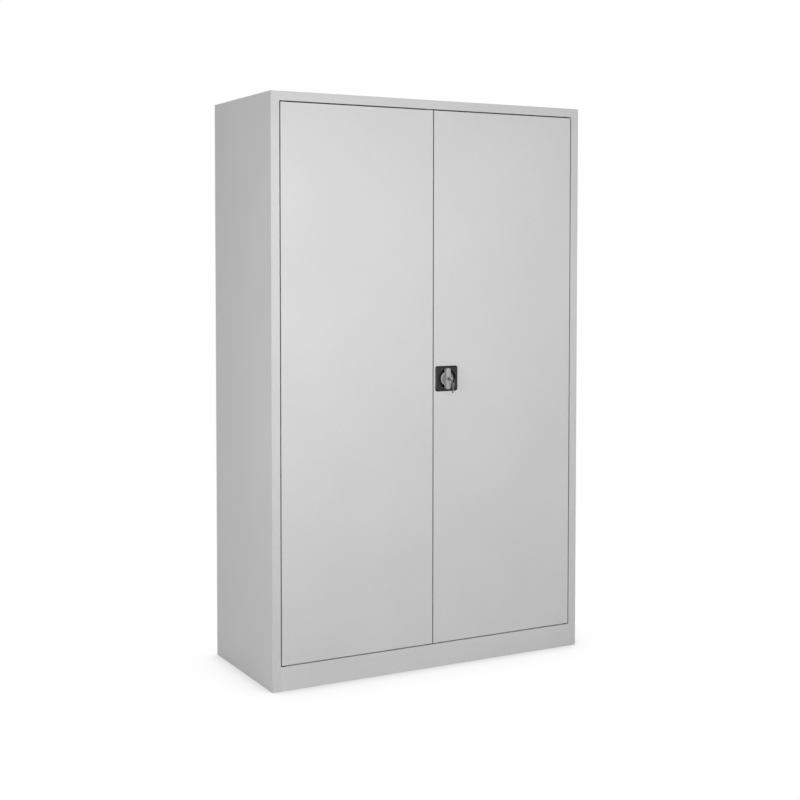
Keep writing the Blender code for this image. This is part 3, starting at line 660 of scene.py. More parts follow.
def set_at_points_tree():
    """One small shape set at many points: rivet heads, weld marks, beads and punched slots."""
    tree = bpy.data.node_groups.new("Set at points", "GeometryNodeTree")
    given = add_inputs(tree, {
        "Points": "Geometry", "Shape": "Object", "Turn": "Float", "Size change": "Float",
        "Seed": "Int", "Finish": "Material",
    })
    shape = add_node(tree, "GeometryNodeObjectInfo", {"Object": given["Shape"]})
    facing, along = [
        add_node(tree, "GeometryNodeInputNamedAttribute", {"Name": name}, data_type="FLOAT_VECTOR")
        for name in ("facing", "along")
    ]
    upright = add_node(tree, "FunctionNodeAlignRotationToVector", {
        "Vector": facing.outputs["Attribute"],
    }, axis="Z")
    lined_up = add_node(tree, "FunctionNodeAlignRotationToVector", {
        "Rotation": upright.outputs["Rotation"], "Vector": along.outputs["Attribute"],
    }, axis="X", pivot_axis="Z")
    least_turn = add_node(tree, "ShaderNodeMath", {0: given["Turn"], 1: -1.0}, operation="MULTIPLY")
    turn = add_node(tree, "FunctionNodeRandomValue", {
        "Min": least_turn.outputs[0], "Max": given["Turn"], "Seed": given["Seed"],
    }, data_type="FLOAT")
    swing = add_node(tree, "ShaderNodeCombineXYZ", {"Z": turn.outputs["Value"]})
    swing_turn = add_node(tree, "FunctionNodeEulerToRotation", {"Euler": swing.outputs["Vector"]})
    turned_shape = add_node(tree, "FunctionNodeRotateRotation", {
        "Rotation": lined_up.outputs["Rotation"], "Rotate By": swing_turn.outputs["Rotation"],
    }, rotation_space="LOCAL")
    smallest, largest = [
        add_node(tree, "ShaderNodeMath", {0: 1.0, 1: given["Size change"]}, operation=change)
        for change in ("SUBTRACT", "ADD")
    ]
    size = add_node(tree, "FunctionNodeRandomValue", {
        "Min": smallest.outputs[0], "Max": largest.outputs[0], "Seed": given["Seed"],
    }, data_type="FLOAT")
    placed = add_node(tree, "GeometryNodeInstanceOnPoints", {
        "Points": given["Points"], "Instance": shape.outputs["Geometry"],
        "Rotation": turned_shape.outputs["Rotation"], "Scale": size.outputs["Value"],
    })
    return close_tree(tree, placed.outputs["Instances"], given["Finish"])


def coiled_wire_tree():
    """A ring of wire that runs round twice, side by side, as a split key ring does."""
    tree = bpy.data.node_groups.new("Coiled wire", "GeometryNodeTree")
    given = add_inputs(tree, {
        "Base": "Geometry", "Radius": "Float", "Wire": "Float", "Rise": "Float", "Turns": "Float",
        "Steps": "Int", "Sides": "Int", "Finish": "Material",
    })
    coil = add_node(tree, "GeometryNodeCurveSpiral", {
        "Resolution": given["Steps"], "Rotations": given["Turns"], "Start Radius": given["Radius"],
        "End Radius": given["Radius"], "Height": given["Rise"],
    })
    section = add_node(tree, "GeometryNodeCurvePrimitiveCircle", {
        "Resolution": given["Sides"], "Radius": given["Wire"],
    })
    wire = add_node(tree, "GeometryNodeCurveToMesh", {
        "Curve": coil.outputs["Curve"], "Profile Curve": section.outputs["Curve"], "Fill Caps": True,
    })
    return close_tree(tree, wire.outputs["Mesh"], given["Finish"])


def grow(name, mesh, tree, values):
    """Make a piece with one of the trees, its inputs set by their sockets, and keep the plain mesh."""
    piece = keep(name, mesh)
    modifier = piece.modifiers.new(tree.name, "NODES")
    modifier.node_group = tree
    for item in tree.interface.items_tree:
        if item.in_out == "INPUT" and item.name in values:
            modifier[item.identifier] = values[item.name]
    apply_modifiers(piece)
    for spare in [row.name for row in piece.data.attributes if row.name in tree_attributes]:
        piece.data.attributes.remove(piece.data.attributes[spare])
    return piece


def folded(name, material, path, start, end, place, thickness=sheet, radius=fold_radius):
    """A folded strip of sheet: a profile with its thickness on the path's right, run from start to end."""
    points = [Vector(point) for point in path]
    mesh = bpy.data.meshes.new(name)
    edges = [(index, index + 1) for index in range(len(points) - 1)]
    mesh.from_pydata([(point.x, point.y, start) for point in points], edges, [])
    bends = mesh.attributes.new("bend_radius", "FLOAT", "POINT")
    for index in range(1, len(points) - 1):
        before, after = points[index] - points[index - 1], points[index + 1] - points[index]
        clockwise = before.cross(after) < 0
        bends.data[index].value = radius if clockwise else radius - thickness
    piece = grow(name, mesh, trees["folded sheet"], {
        "Run": end - start, "Sheet": thickness, "Fold steps": fold_steps, "Finish": material,
    })
    piece.data.transform(place)
    shape = bmesh.new()
    shape.from_mesh(piece.data)
    bmesh.ops.recalc_face_normals(shape, faces=shape.faces)
    shape.to_mesh(piece.data)
    shape.free()
    return piece


def set_at_points(name, rows, shape, material=None, turn=0.0, size_change=0.0, seed=0):
    """Copies of a shape drawn about +Z, at rows of place, facing and along, as one piece."""
    mesh = bpy.data.meshes.new(name)
    mesh.from_pydata([place for place, _, _ in rows], [], [])
    for column, label in ((1, "facing"), (2, "along")):
        attribute = mesh.attributes.new(label, "FLOAT_VECTOR", "POINT")
        for index, row in enumerate(rows):
            attribute.data[index].vector = row[column]
    piece = grow(name, mesh, trees["set at points"], {
        "Shape": shape, "Turn": turn, "Size change": size_change, "Seed": seed, "Finish": material,
    })
    bpy.data.objects.remove(shape, do_unlink=True)
    return piece


def boxes(corner_pairs):
    """One object that holds several upright boxes, for cutting or welding."""
    shape = bmesh.new()
    for low, high in corner_pairs:
        low, high = Vector(low), Vector(high)
        place = Matrix.Translation((low + high) / 2) @ Matrix.Diagonal((*(high - low), 1))
        bmesh.ops.create_cube(shape, size=1, matrix=place)
    return shape_to_object("cutter", shape, None)


def sided_box(side, u, y, z):
    """The two corners of a box given by its distance u from the middle, on one side."""
    x = sorted(side * distance for distance in u)
    return (x[0], y[0], z[0]), (x[1], y[1], z[1])


def lathe(name, material, profile, axis, centre, steps, hollow=False):
    """A turned piece: a profile of radius and height about an axis through a centre."""
    shape = bmesh.new()
    turn_axis = Vector(axis).normalized()
    side = turn_axis.orthogonal().normalized()
    rings = []
    for radius, rise in profile:
        middle = Vector(centre) + turn_axis * rise
        if radius == 0:
            rings.append([shape.verts.new(middle)])
            continue
        arms = [Matrix.Rotation(math.tau * step / steps, 3, turn_axis) @ side for step in range(steps)]
        rings.append([shape.verts.new(middle + arm * radius) for arm in arms])
    pairs = list(zip(rings, rings[1:]))
    if hollow:
        pairs.append((rings[-1], rings[0]))
    for lower, upper in pairs:
        for step in range(steps):
            after = (step + 1) % steps
            corners = [lower[step % len(lower)], lower[after % len(lower)]]
            corners += [upper[after % len(upper)], upper[step % len(upper)]]
            shape.faces.new(list(dict.fromkeys(corners)))
    return shape_to_object(name, shape, material)


def bar(radius, low, high, axis, centre, steps):
    """A plain round bar, for bores."""
    return lathe("cutter", None, ((0, low), (radius, low), (radius, high), (0, high)), axis, centre, steps)


def arc(centre, radius, start, end, steps):
    """Points of an arc, as radius and rise, with its angles in degrees."""
    angles = [math.radians(start + (end - start) * step / steps) for step in range(steps + 1)]
    return [(centre[0] + radius * math.cos(angle), centre[1] + radius * math.sin(angle)) for angle in angles]


def loft(name, material, rings, closed=False):
    """A solid through rings of points: with flat ends, or with its last ring joined to its first."""
    shape = bmesh.new()
    loops = [[shape.verts.new(point) for point in ring] for ring in rings]
    count = len(loops[0])
    pairs = list(zip(loops, loops[1:]))
    if closed:
        pairs.append((loops[-1], loops[0]))
    else:
        shape.faces.new(loops[0])
        shape.faces.new(loops[-1])
    for lower, upper in pairs:
        for index in range(count):
            after = (index + 1) % count
            shape.faces.new((lower[index], lower[after], upper[after], upper[index]))
    return shape_to_object(name, shape, material)


def plan(side):
    """A profile drawn in plan, u from the middle and y, run up along z."""
    return Matrix.Diagonal((side, 1, 1, 1))


def drawn_from_side(up=1, base=0.0):
    """A profile drawn from the side, y and a height from a base, run along x."""
    return Matrix(((0, 0, 1, 0), (1, 0, 0, 0), (0, up, 0, base), (0, 0, 0, 1)))


def drawn_from_front(side):
    """A profile drawn from the front, u from the middle and z, run along y."""
    return Matrix(((side, 0, 0, 0), (0, 0, 1, 0), (0, 1, 0, 0), (0, 0, 0, 1)))


def tray(name, a_ends, b_ends, edge, lip, place, material):
    """A sheet with four folded edges and lips; place turns a, b and a depth into a point."""
    shape = bmesh.new()
    rings = []
    for inset, down in ((0, 0), (0, edge), (lip, edge)):
        a_low, a_high = a_ends[0] + inset, a_ends[1] - inset
        b_low, b_high = b_ends[0] + inset, b_ends[1] - inset
        corners = ((a_low, b_low), (a_high, b_low), (a_high, b_high), (a_low, b_high))
        rings.append([shape.verts.new(place(a, b, down)) for a, b in corners])
    plate = shape.faces.new(rings[0])
    for upper, lower in zip(rings, rings[1:]):
        for index in range(4):
            after = (index + 1) % 4
            shape.faces.new((upper[index], upper[after], lower[after], lower[index]))
    bmesh.ops.recalc_face_normals(shape, faces=shape.faces)
    outward = Vector(place(0, 0, 0)) - Vector(place(0, 0, 1))
    if plate.normal.dot(outward) < 0:
        bmesh.ops.reverse_faces(shape, faces=shape.faces)
    mesh = bpy.data.meshes.new(name)
    shape.to_mesh(mesh)
    shape.free()
    mesh.materials.append(material)
    made = keep(name, mesh)
    bevel = made.modifiers.new("folds", "BEVEL")
    bevel.width = fold_radius
    bevel.segments = fold_steps
    bevel.limit_method = "ANGLE"
    solidify = made.modifiers.new("sheet", "SOLIDIFY")
    solidify.thickness = sheet
    solidify.offset = -1
    solidify.use_even_offset = True
    return apply_modifiers(made)


def side_panel(side_name, side):
    """A side: rear flange, flat side, front stile, its return and its closing lip."""
    node = f"{side_name}_side_panel"
    stile_back = front + frame_return
    path = (
        (outer - rear_flange, back),
        (outer, back),
        (outer, front),
        (opening, front),
        (opening, stile_back),
        (opening + frame_lip, stile_back),
    )
    panel = folded(f"{side_name}_side", shaded_frame_coat, path, 0, height, plan(side))
    under_top = sided_box(
        side,
        (opening - overrun, inside),
        (front + sheet + fit, inside_back),
        (height - sheet - fit, height + overrun),
    )
    combine(panel, boxes([under_top]))
    # The raw top edge is rounded as the top panel's fold beside it is
    bend = arc((front + fold_radius, height - fold_radius), fold_radius, 180, 90, fold_steps)
    above = [(front + fold_radius, height + overrun), (front - overrun, height + overrun)]
    above.append((front - overrun, height - fold_radius))
    combine(panel, loft("cutter", None, [
        [(side * x, y, z) for y, z in bend + above] for x in (opening - overrun, outer + overrun)
    ]))
    marks = [
        ((side * (outer - rear_flange / 2), back, level), (0, 1, 0), (0, 0, 1))
        for level in spaced(spot_end, height - spot_end, flange_spot_pitch)
    ]
    combine(panel, spot_marks(marks))
    return fit_piece(soften(panel), node)


def spaced(low, high, pitch):
    """Even places from low to high, about a pitch apart."""
    count = max(1, round((high - low) / pitch))
    return [low + (high - low) * index / count for index in range(count + 1)]


def spot_marks(rows):
    """Cutters for the shallow dents that spot welding leaves in a sheet."""
    half = spot_width / 2
    radius = (half * half + spot_depth * spot_depth) / (2 * spot_depth)
    rim = math.degrees(math.asin(half / radius))
    below = arc((0, radius - spot_depth), radius, -90, -90 + rim, spot_steps)
    profile = [(max(0.0, distance), rise) for distance, rise in below]
    profile[0] = (0, profile[0][1])
    profile += [(half, overrun), (0, overrun)]
    shape = lathe("spot", None, profile, (0, 0, 1), (0, 0, 0), spot_sides)
    return set_at_points("spots", rows, shape, size_change=weld_size_change, seed=3)


def top_panel():
    """The top: front rail, ground flush at the stiles, with its return and lip, plate and flanges."""
    rail_back = front + frame_return
    path = (
        (rail_back, rail_z + frame_lip),
        (rail_back, rail_z),
        (front, rail_z),
        (front, height),
        (back, height),
        (back, height - top_flange),
    )
    panel = folded("top_and_rail", shaded_frame_coat, path, -inside, inside, drawn_from_side())
    flanges, corners, over_stiles = [], [], []
    for side in (-1, 1):
        flanges.append(sided_box(
            side,
            (inside - sheet, inside),
            (rail_back + fit, back - rear_flange),
            (height - top_flange, height - sheet / 2),
        ))
        corners.append(sided_box(
            side,
            (opening, outer),
            (front + sheet, rail_back + overrun),
            (rail_z - overrun, height - sheet - fit / 2),
        ))
        over_stiles.append(sided_box(
            side,
            (opening + fold_radius, outer),
            (front - overrun, front + sheet + fit),
            (rail_z - overrun, height + overrun),
        ))
        over_stiles.append(sided_box(
            side,
            (outer - rear_flange - fit, outer),
            (inside_back, back + overrun),
            (height - top_flange - overrun, height + overrun),
        ))
    combine(panel, boxes(flanges), "UNION")
    combine(panel, boxes(corners))
    combine(panel, boxes(over_stiles))
    combine(panel, pivot_holes(rail_z + sheet / 2))
    return fit_piece(soften(panel), "top_panel")


def front_plinth():
    """The plinth: foot flange, face, return and lip, ground flush where it meets the stiles."""
    plinth_back = front + frame_return
    path = (
        (front + foot_flange, 0),
        (front, 0),
        (front, plinth_height),
        (plinth_back, plinth_height),
        (plinth_back, plinth_height - frame_lip),
    )
    end = opening + fold_radius
    panel = folded("plinth", coat, path, -end, end, drawn_from_side())
    behind = [
        sided_box(side, (opening, outer), (front + sheet, back), (-overrun, plinth_height + overrun))
        for side in (-1, 1)
    ]
    combine(panel, boxes(behind))
    combine(panel, pivot_holes(plinth_height - sheet / 2))
    return fit_piece(soften(panel), "front_plinth")


def pivot_holes(level):
    """Cutters for the two pivot bushes in a return of the frame."""
    shape = bmesh.new()
    for side in (-1, 1):
        bmesh.ops.create_cone(
            shape, cap_ends=True, segments=small_steps, radius1=bush_outer_radius + fit,
            radius2=bush_outer_radius + fit, depth=sheet + 2 * overrun,
            matrix=Matrix.Translation((side * pivot_x, pivot_y, level)),
        )
    return shape_to_object("cutter", shape, None)


def door_stop():
    """The joggled tab behind the top rail's lip that both doors close against."""
    low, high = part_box("door_stop")
    lip_back = front + frame_return + fit
    under = rail_z - fit
    path = (
        (lip_back + sheet, high.z),
        (lip_back + sheet, under - sheet),
        (low.y + sheet, under - sheet),
        (low.y + sheet, low.z),
    )
    tab = folded("door_stop_tab", coat, path, low.x, high.x, drawn_from_side(), sheet, stop_radius)
    return fit_piece(soften(tab, edge_round / 2), "door_stop")


def back_panel():
    """The back: one sheet inside the rear flanges, with a foot flange."""
    low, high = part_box("back_panel")
    path = ((inside_back, high.z), (inside_back, 0), (inside_back - foot_flange, 0))
    panel = folded("back_sheet", coat, path, low.x, high.x, drawn_from_side())
    return fit_piece(soften(panel), "back_panel")


def floor_panel():
    """The floor: a tray behind the plinth, notched round the stiles."""
    low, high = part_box("floor_panel")
    panel = tray(
        "floor_tray", (low.x, high.x), (low.y, high.y), floor_edge, floor_lip,
        lambda x, y, down: (x, y, high.z - down), coat,
    )
    notches = [
        sided_box(
            side,
            (opening - fit, outer),
            (front, front + frame_return + fit),
            (low.z - overrun, high.z + overrun),
        )
        for side in (-1, 1)
    ]
    return fit_piece(soften(combine(panel, boxes(notches))), "floor_panel")


def hat(centre, half, foot, base, crown):
    """The path of a hat profile: foot, leg, crown, leg, foot."""
    return (
        (centre - half - foot, base),
        (centre - half, base),
        (centre - half, crown),
        (centre + half, crown),
        (centre + half, base),
        (centre + half + foot, base),
    )


def floor_channel():
    """A hat profile spot-welded under the floor."""
    low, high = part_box("floor_channel")
    middle = (low.y + high.y) / 2
    path = hat(middle, floor_channel_half, floor_channel_foot, sheet, floor_channel_depth)
    channel = folded("floor_stiffener", coat, path, low.x, high.x, drawn_from_side(-1, high.z))
    row_y = floor_channel_half + floor_channel_foot / 2
    marks = [
        ((place, middle + side * row_y, high.z - sheet), (0, 0, -1), (1, 0, 0))
        for side in (-1, 1)
        for place in spaced(low.x + spot_end, high.x - spot_end, stiffener_spot_pitch)
    ]
    combine(channel, spot_marks(marks))
    return fit_piece(soften(channel), "floor_channel")


def shelf_rail(side_name, row, side):
    """A channel on a side panel, punched with slots for the shelf clips."""
    node = f"{side_name}_{row}_shelf_rail"
    low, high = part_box(node)
    face = min(abs(low.x), abs(high.x))
    path = ((inside, low.y), (face, low.y), (face, high.y), (inside, high.y))
    rail = folded(f"{side_name}_{row}_rail", coat, path, low.z, high.z, plan(side))
    first = low.z + slot_margin
    count = int((high.z - slot_margin - first) / slot_pitch) + 1
    rows = [
        ((side * face, (low.y + high.y) / 2, first + slot_pitch * index), (side, 0, 0), (0, 1, 0))
        for index in range(count)
    ]
    combine(rail, set_at_points("slots", rows, slot_punch()))
    return fit_piece(soften(rail), node)


def slot_punch():
    """The punch for one slot: a bar with its corners rounded a little."""
    outline = []
    for quarter in range(4):
        x = (slot_width / 2 - slot_corner) * (1 if quarter in (0, 3) else -1)
        y = (slot_height / 2 - slot_corner) * (1 if quarter in (0, 1) else -1)
        outline += arc((x, y), slot_corner, 90 * quarter, 90 * quarter + 90, slot_steps)
    return loft("punch", None, [
        [(x, y, level) for x, y in outline] for level in (-overrun, sheet + overrun)
    ])


def shelf_rail_welds(side_name, row, side):
    """Short weld beads, painted over, that hold a shelf rail to its side."""
    node = f"{side_name}_{row}_shelf_rail"
    low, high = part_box(node)
    rows = []
    for edge, out in ((low.y, -1), (high.y, 1)):
        facing = Vector((-side, out, 0)).normalized()
        for level in spaced(low.z + spot_end, high.z - spot_end, bead_pitch):
            place = Vector((side * inside, edge, level)) + facing * bead_width / 4
            rows.append((place, facing, (0, 0, 1)))
    beads = set_at_points(
        f"{side_name}_{row}_rail_welds", rows, weld_bead(), coat, size_change=weld_size_change, seed=5,
    )
    return ride_with(shade(beads), node)


def weld_bead():
    """One bead of weld: a low ridge with ripples along it, drawn along X."""
    rings = []
    turns = [math.tau * index / bead_sides for index in range(bead_sides)]
    steps = ripple_steps * bead_ripples
    for step in range(steps + 1):
        share = 2 * step / steps - 1
        swell = math.sqrt(max(0.0, 1 - share ** 4))
        ripple = 1 + bead_ripple_depth * math.cos(math.tau * bead_ripples * step / steps)
        half = max(bead_width / 2 * swell * ripple, bead_tip)
        rings.append([
            (bead_length / 2 * share, half * math.cos(turn), bead_height_share * half * math.sin(turn))
            for turn in turns
        ])
    return loft("bead", None, rings)


def shelf_clip(number, side_name, row, side):
    """A bent clip: a hook behind the slot, a ledge for the shelf and a turned-down nose."""
    node = f"shelf_clip_{number}_{side_name}_{row}"
    low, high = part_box(node)
    hook, tip = max(abs(low.x), abs(high.x)), min(abs(low.x), abs(high.x))
    under = high.z - clip_hook - clip_sheet
    path = ((hook, high.z), (hook, under), (tip, under), (tip, low.z))
    clip = folded(
        f"{node}_bent", zinc, path, low.y, high.y, drawn_from_front(side), clip_sheet, clip_radius,
    )
    return fit_piece(soften(clip, edge_round / 2), node)


def shelf(number):
    """A shelf: a tray with folded edges that rests on its four clips."""
    node = f"shelf_{number}"
    low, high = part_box(node)
    board = tray(
        f"{node}_tray", (low.x, high.x), (low.y, high.y), shelf_edge, shelf_lip,
        lambda x, y, down: (x, y, high.z - down), coat,
    )
    return fit_piece(soften(board), node)


def door(side_name, side):
    """A door pan with its pivot brackets and the bores for its pivot pins."""
    node = f"{side_name}_door"
    low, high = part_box(node)
    inner, edge_x = sorted((abs(low.x), abs(high.x)))
    pan = tray(
        f"{side_name}_door_pan", (inner, edge_x), (low.z, high.z), door_thickness, door_lip,
        lambda u, z, back_by: (side * u, front + back_by, z), coat,
    )
    brackets = [
        sided_box(
            side,
            (edge_x - bracket_reach, edge_x - sheet / 2),
            (front + sheet / 2, front + door_thickness - sheet / 2),
            (level - bracket_sheet / 2, level + bracket_sheet / 2),
        )
        for level in (low.z + bracket_drop, high.z - bracket_drop)
    ]
    combine(pan, boxes(brackets), "UNION")
    for level in (low.z, high.z):
        reach = bracket_drop + bracket_sheet + overrun
        centre = (side * pivot_x, pivot_y, level)
        combine(pan, bar(pin_radius + fit, -reach, reach, (0, 0, 1), centre, small_steps))
    if side > 0:
        centre = (lock_x, front, lock_z)
        hole = spindle_radius + spindle_gap
        combine(pan, bar(hole, -overrun, sheet + overrun, (0, 1, 0), centre, round_steps))
    return fit_piece(soften(pan), node)


def door_stiffener(side_name, side):
    """A hat profile on the inner side of a door, spot-welded through its feet."""
    node = f"{side_name}_door_stiffener"
    low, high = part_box(node)
    middle = (abs(low.x) + abs(high.x)) / 2
    base = low.y + sheet
    path = hat(middle, stiffener_half, stiffener_foot, base, high.y)
    strip = folded(f"{side_name}_stiffener", coat, path, low.z, high.z, plan(side))
    row_x = stiffener_half + stiffener_foot / 2
    marks = [
        ((side * (middle + across * row_x), base, level), (0, 1, 0), (0, 0, 1))
        for across in (-1, 1)
        for level in spaced(low.z + spot_end, high.z - spot_end, stiffener_spot_pitch)
    ]
    combine(strip, spot_marks(marks))
    return fit_piece(soften(strip), node)


def pivot_bush(side_name, end_name, side, up):
    """The flanged bush in the frame that a pivot pin turns in."""
    node = f"{side_name}_{end_name}_pivot_bush"
    low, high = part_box(node)
    head = high.x - (low.x + high.x) / 2
    rise = high.z - low.z
    profile = [
        (bush_bore_radius, 0.0),
        *arc((head - edge_round, edge_round), edge_round, -90, 0, edge_steps),
        (head, door_gap - 2 * fit),
        (bush_outer_radius, door_gap - 2 * fit),
        (bush_outer_radius, rise - edge_round),
        (bush_outer_radius - edge_round, rise),
        (bush_bore_radius, rise),
    ]
    centre = (side * pivot_x, pivot_y, low.z if up > 0 else high.z)
    bush = lathe(
        f"{side_name}_{end_name}_bush", finish["nylon"], profile, (0, 0, up), centre, small_steps,
        hollow=True,
    )
    return fit_piece(shade(bush), node)


def front_place(x, z, out):
    """A point in front of the doors' outer face, out from it."""
    return (x, front - out, z)


def square_point(turn, reach, corner):
    """Where a ray from the middle at a turn meets a square with round corners."""
    across, up = math.cos(turn), math.sin(turn)
    long, short = max(abs(across), abs(up)), min(abs(across), abs(up))
    if short / long * reach <= reach - corner:
        distance = reach / long
    else:
        middle = reach - corner
        along = middle * (long + short)
        distance = along + math.sqrt(along * along - 2 * middle * middle + corner * corner)
    return across * distance, up * distance


def lock_plate():
    """The square plate round the knob: a bevelled rim, a flat face and a round dish with a soft lip."""
    low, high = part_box("lock_plate")
    half = (high.x - low.x) / 2
    rise = front - low.y
    floor = rise - dish_depth
    squares = [(half, plate_corner, fit), (half, plate_corner, plate_edge - edge_round)]
    squares.append((half - edge_round, plate_corner - edge_round, plate_edge))
    for step in range(1, plate_bevel_steps + 1):
        share = step / plate_bevel_steps
        inset = edge_round + (plate_bevel - edge_round) * share
        climb = math.sin(share * math.tau / 4) ** plate_bevel_crown
        squares.append((half - inset, plate_corner - inset, plate_edge + (rise - plate_edge) * climb))
    hole = spindle_radius + spindle_gap
    circles = [
        *arc((dish_radius + dish_lip, rise - dish_lip), dish_lip, 90, 180, lip_steps),
        (dish_radius - dish_slope + dish_lip, floor + dish_lip / 2),
        (dish_radius - dish_slope, floor),
        (hole + edge_round, floor),
        (hole, floor - edge_round),
        (hole, fit),
    ]
    turns = [math.tau * (step + 0.5) / plate_steps for step in range(plate_steps)]
    rings = []
    for reach, corner, out in squares:
        spots = [square_point(turn, reach, corner) for turn in turns]
        rings.append([front_place(lock_x + x, lock_z + z, out) for x, z in spots])
    for radius, out in circles:
        rings.append([
            front_place(lock_x + radius * math.cos(turn), lock_z + radius * math.sin(turn), out)
            for turn in turns
        ])
    plate = loft("lock_escutcheon", finish["black_plastic"], rings, closed=True)
    return fit_piece(shade(plate), "lock_plate")


def grip_outline(flare, width_share, end_inset):
    """The grip's outline: waisted, blunt at its ends, grown by a flare or narrowed by a share."""
    end_radius, waist = grip_width / 2, grip_waist / 2
    reach = grip_length / 2 - grip_end
    half = []
    for step in range(grip_steps):
        share = -1 + 2 * step / grip_steps
        swell = (1 - math.cos(math.pi * share)) / 2
        half.append((waist + (end_radius - waist) * swell, reach * share, 1.0))
    for step in range(grip_steps):
        angle = math.pi * step / grip_steps
        half.append((end_radius * math.cos(angle), reach + grip_end * math.sin(angle), math.cos(angle)))
    ends = 1 - 2 * end_inset / grip_length
    shaped = [((x + flare * outward) * width_share, z * ends) for x, z, outward in half]
    return shaped + [(-x, -z) for x, z in shaped]


def knob():
    """The knob in one moulding: bevelled disc, waisted grip with a crowned face, and spindle."""
    plate_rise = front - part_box("lock_plate")[0].y
    centre = front_place(lock_x, lock_z, 0)
    disc_back = plate_rise - dish_depth + fit
    disc_front = disc_back + disc_rise
    spindle_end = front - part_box("knob")[1].y
    cam_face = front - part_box("cam")[0].y
    profile = [
        (0, spindle_end),
        (cam_bore_radius, spindle_end),
        (cam_bore_radius, cam_face + fit),
        (spindle_radius, cam_face + fit),
        (spindle_radius, disc_back),
        (disc_radius, disc_back),
        *arc((disc_radius - edge_round, disc_front - disc_edge - edge_round), edge_round, 0, 45, edge_steps),
        *arc((disc_radius - disc_edge - edge_round, disc_front - edge_round), edge_round, 45, 90, edge_steps),
        (0, disc_front),
    ]
    body = lathe("turning_knob", finish["grey_plastic"], profile, (0, -1, 0), centre, round_steps)
    shoulder = grip_face - grip_crown - grip_round
    levels = [(grip_fillet, 1.0, 0.0, disc_front - edge_round)]
    quarter = [math.tau / 4 * step / grip_levels for step in range(grip_levels + 1)]
    for turn in quarter:
        flare = grip_fillet * (1 - math.sin(turn))
        levels.append((flare, 1.0, 0.0, disc_front + grip_fillet * (1 - math.cos(turn))))
    for turn in quarter:
        drawn_in = grip_draft + grip_round * (1 - math.cos(turn))
        levels.append((-drawn_in, 1.0, drawn_in, shoulder + grip_round * math.sin(turn)))
    for step in range(1, grip_levels + 1):
        share = 1 - step / grip_levels
        end_inset = grip_draft + grip_round + (1 - share) * grip_end
        crown = grip_face - grip_crown * share * share
        levels.append((-grip_draft - grip_round, max(share, crown_ridge), end_inset, crown))
    rings = []
    for flare, width_share, end_inset, out in levels:
        outline = grip_outline(flare, width_share, end_inset)
        rings.append([front_place(lock_x + x, lock_z + z, out) for x, z in outline])
    combine(body, loft("grip", None, rings), "UNION")
    plug_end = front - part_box("lock_plug")[1].y
    combine(body, bar(
        plug_radius + fit, plug_end - fit, grip_face + overrun, (0, -1, 0), centre, round_steps,
    ))
    return fit_piece(soften(body, edge_round), "knob")


def lock_plug():
    """The cylinder in the knob: a turned face with a ring groove, and the slot that the key goes in."""
    low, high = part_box("lock_plug")
    face = front - low.y
    groove = plug_radius * plug_groove_share
    profile = [
        (0, front - high.y),
        (plug_radius, front - high.y),
        *arc((plug_radius - plug_round, face - plug_round), plug_round, 0, 90, lip_steps),
        *arc((groove, face), plug_groove, 0, -180, groove_steps),
        (0, face),
    ]
    plug = lathe("lock_cylinder", nickel, profile, (0, -1, 0), front_place(lock_x, lock_z, 0), round_steps)
    half_width = key_blade_width / 2 + fit
    half_thickness = key_thickness / 2 + fit
    slot = boxes([(
        (-half_width, -overrun, -half_thickness),
        (half_width, key_inserted + edge_round, half_thickness),
    )])
    slot.data.transform(key_place(face))
    return fit_piece(soften(combine(plug, slot), edge_round / 3), "lock_plug")


def key_place(out):
    """Turn a shape that is drawn flat about the knob's axis to the key's slant."""
    turn = Matrix.Rotation(key_angle, 4, "Y")
    return Matrix.Translation(front_place(lock_x, lock_z, out)) @ turn


def flat_key(name):
    """A key drawn flat, its tip towards +Y and the hole in its bow at the origin, with milled faces."""
    half = key_blade_width / 2
    length = key_inserted + key_neck + 2 * bow_radius
    meet = math.asin(half / bow_radius)
    centre = length - bow_radius
    points = [(-half, blade_tip), (blade_tip - half, 0), (half - blade_tip, 0), (half, blade_tip)]
    pitch = (key_inserted - blade_tip) / (len(blade_cut_shares) + 1)
    for index, share in enumerate(blade_cut_shares):
        middle = blade_tip + pitch * (index + 1)
        floor = half - key_blade_width * share
        flat = pitch * cut_width_share * cut_floor_share
        points.append((half, middle - pitch * cut_width_share / 2))
        points += [(floor, middle - flat), (floor, middle + flat)]
        points.append((half, middle + pitch * cut_width_share / 2))
    for step in range(bow_steps + 1):
        angle = meet + (math.tau - 2 * meet) * step / bow_steps
        points.append((bow_radius * math.sin(angle), centre - bow_radius * math.cos(angle)))
    hole = length - bow_hole_from_end
    thick = key_thickness / 2
    key = loft(name, nickel, [[(x, hole - y, level) for x, y in points] for level in (-thick, thick)])
    combine(key, bar(bow_hole_radius, -thick - overrun, thick + overrun, (0, 0, 1), (0, 0, 0), small_steps))
    bow_middle = (0, hole - centre, 0)
    for face in (-1, 1):
        panel_from = thick - bow_panel_depth
        combine(key, bar(
            bow_panel_radius, panel_from, thick + overrun, (0, 0, face), bow_middle, round_steps,
        ))
        groove = half * blade_groove_share
        low_x, high_x = sorted((face * groove, face * (groove + blade_groove_width)))
        levels = sorted((face * (thick - blade_groove_depth), face * (thick + overrun)))
        start = hole - key_inserted - key_neck
        combine(key, boxes([((low_x, start, levels[0]), (high_x, hole + overrun, levels[1]))]))
    return key


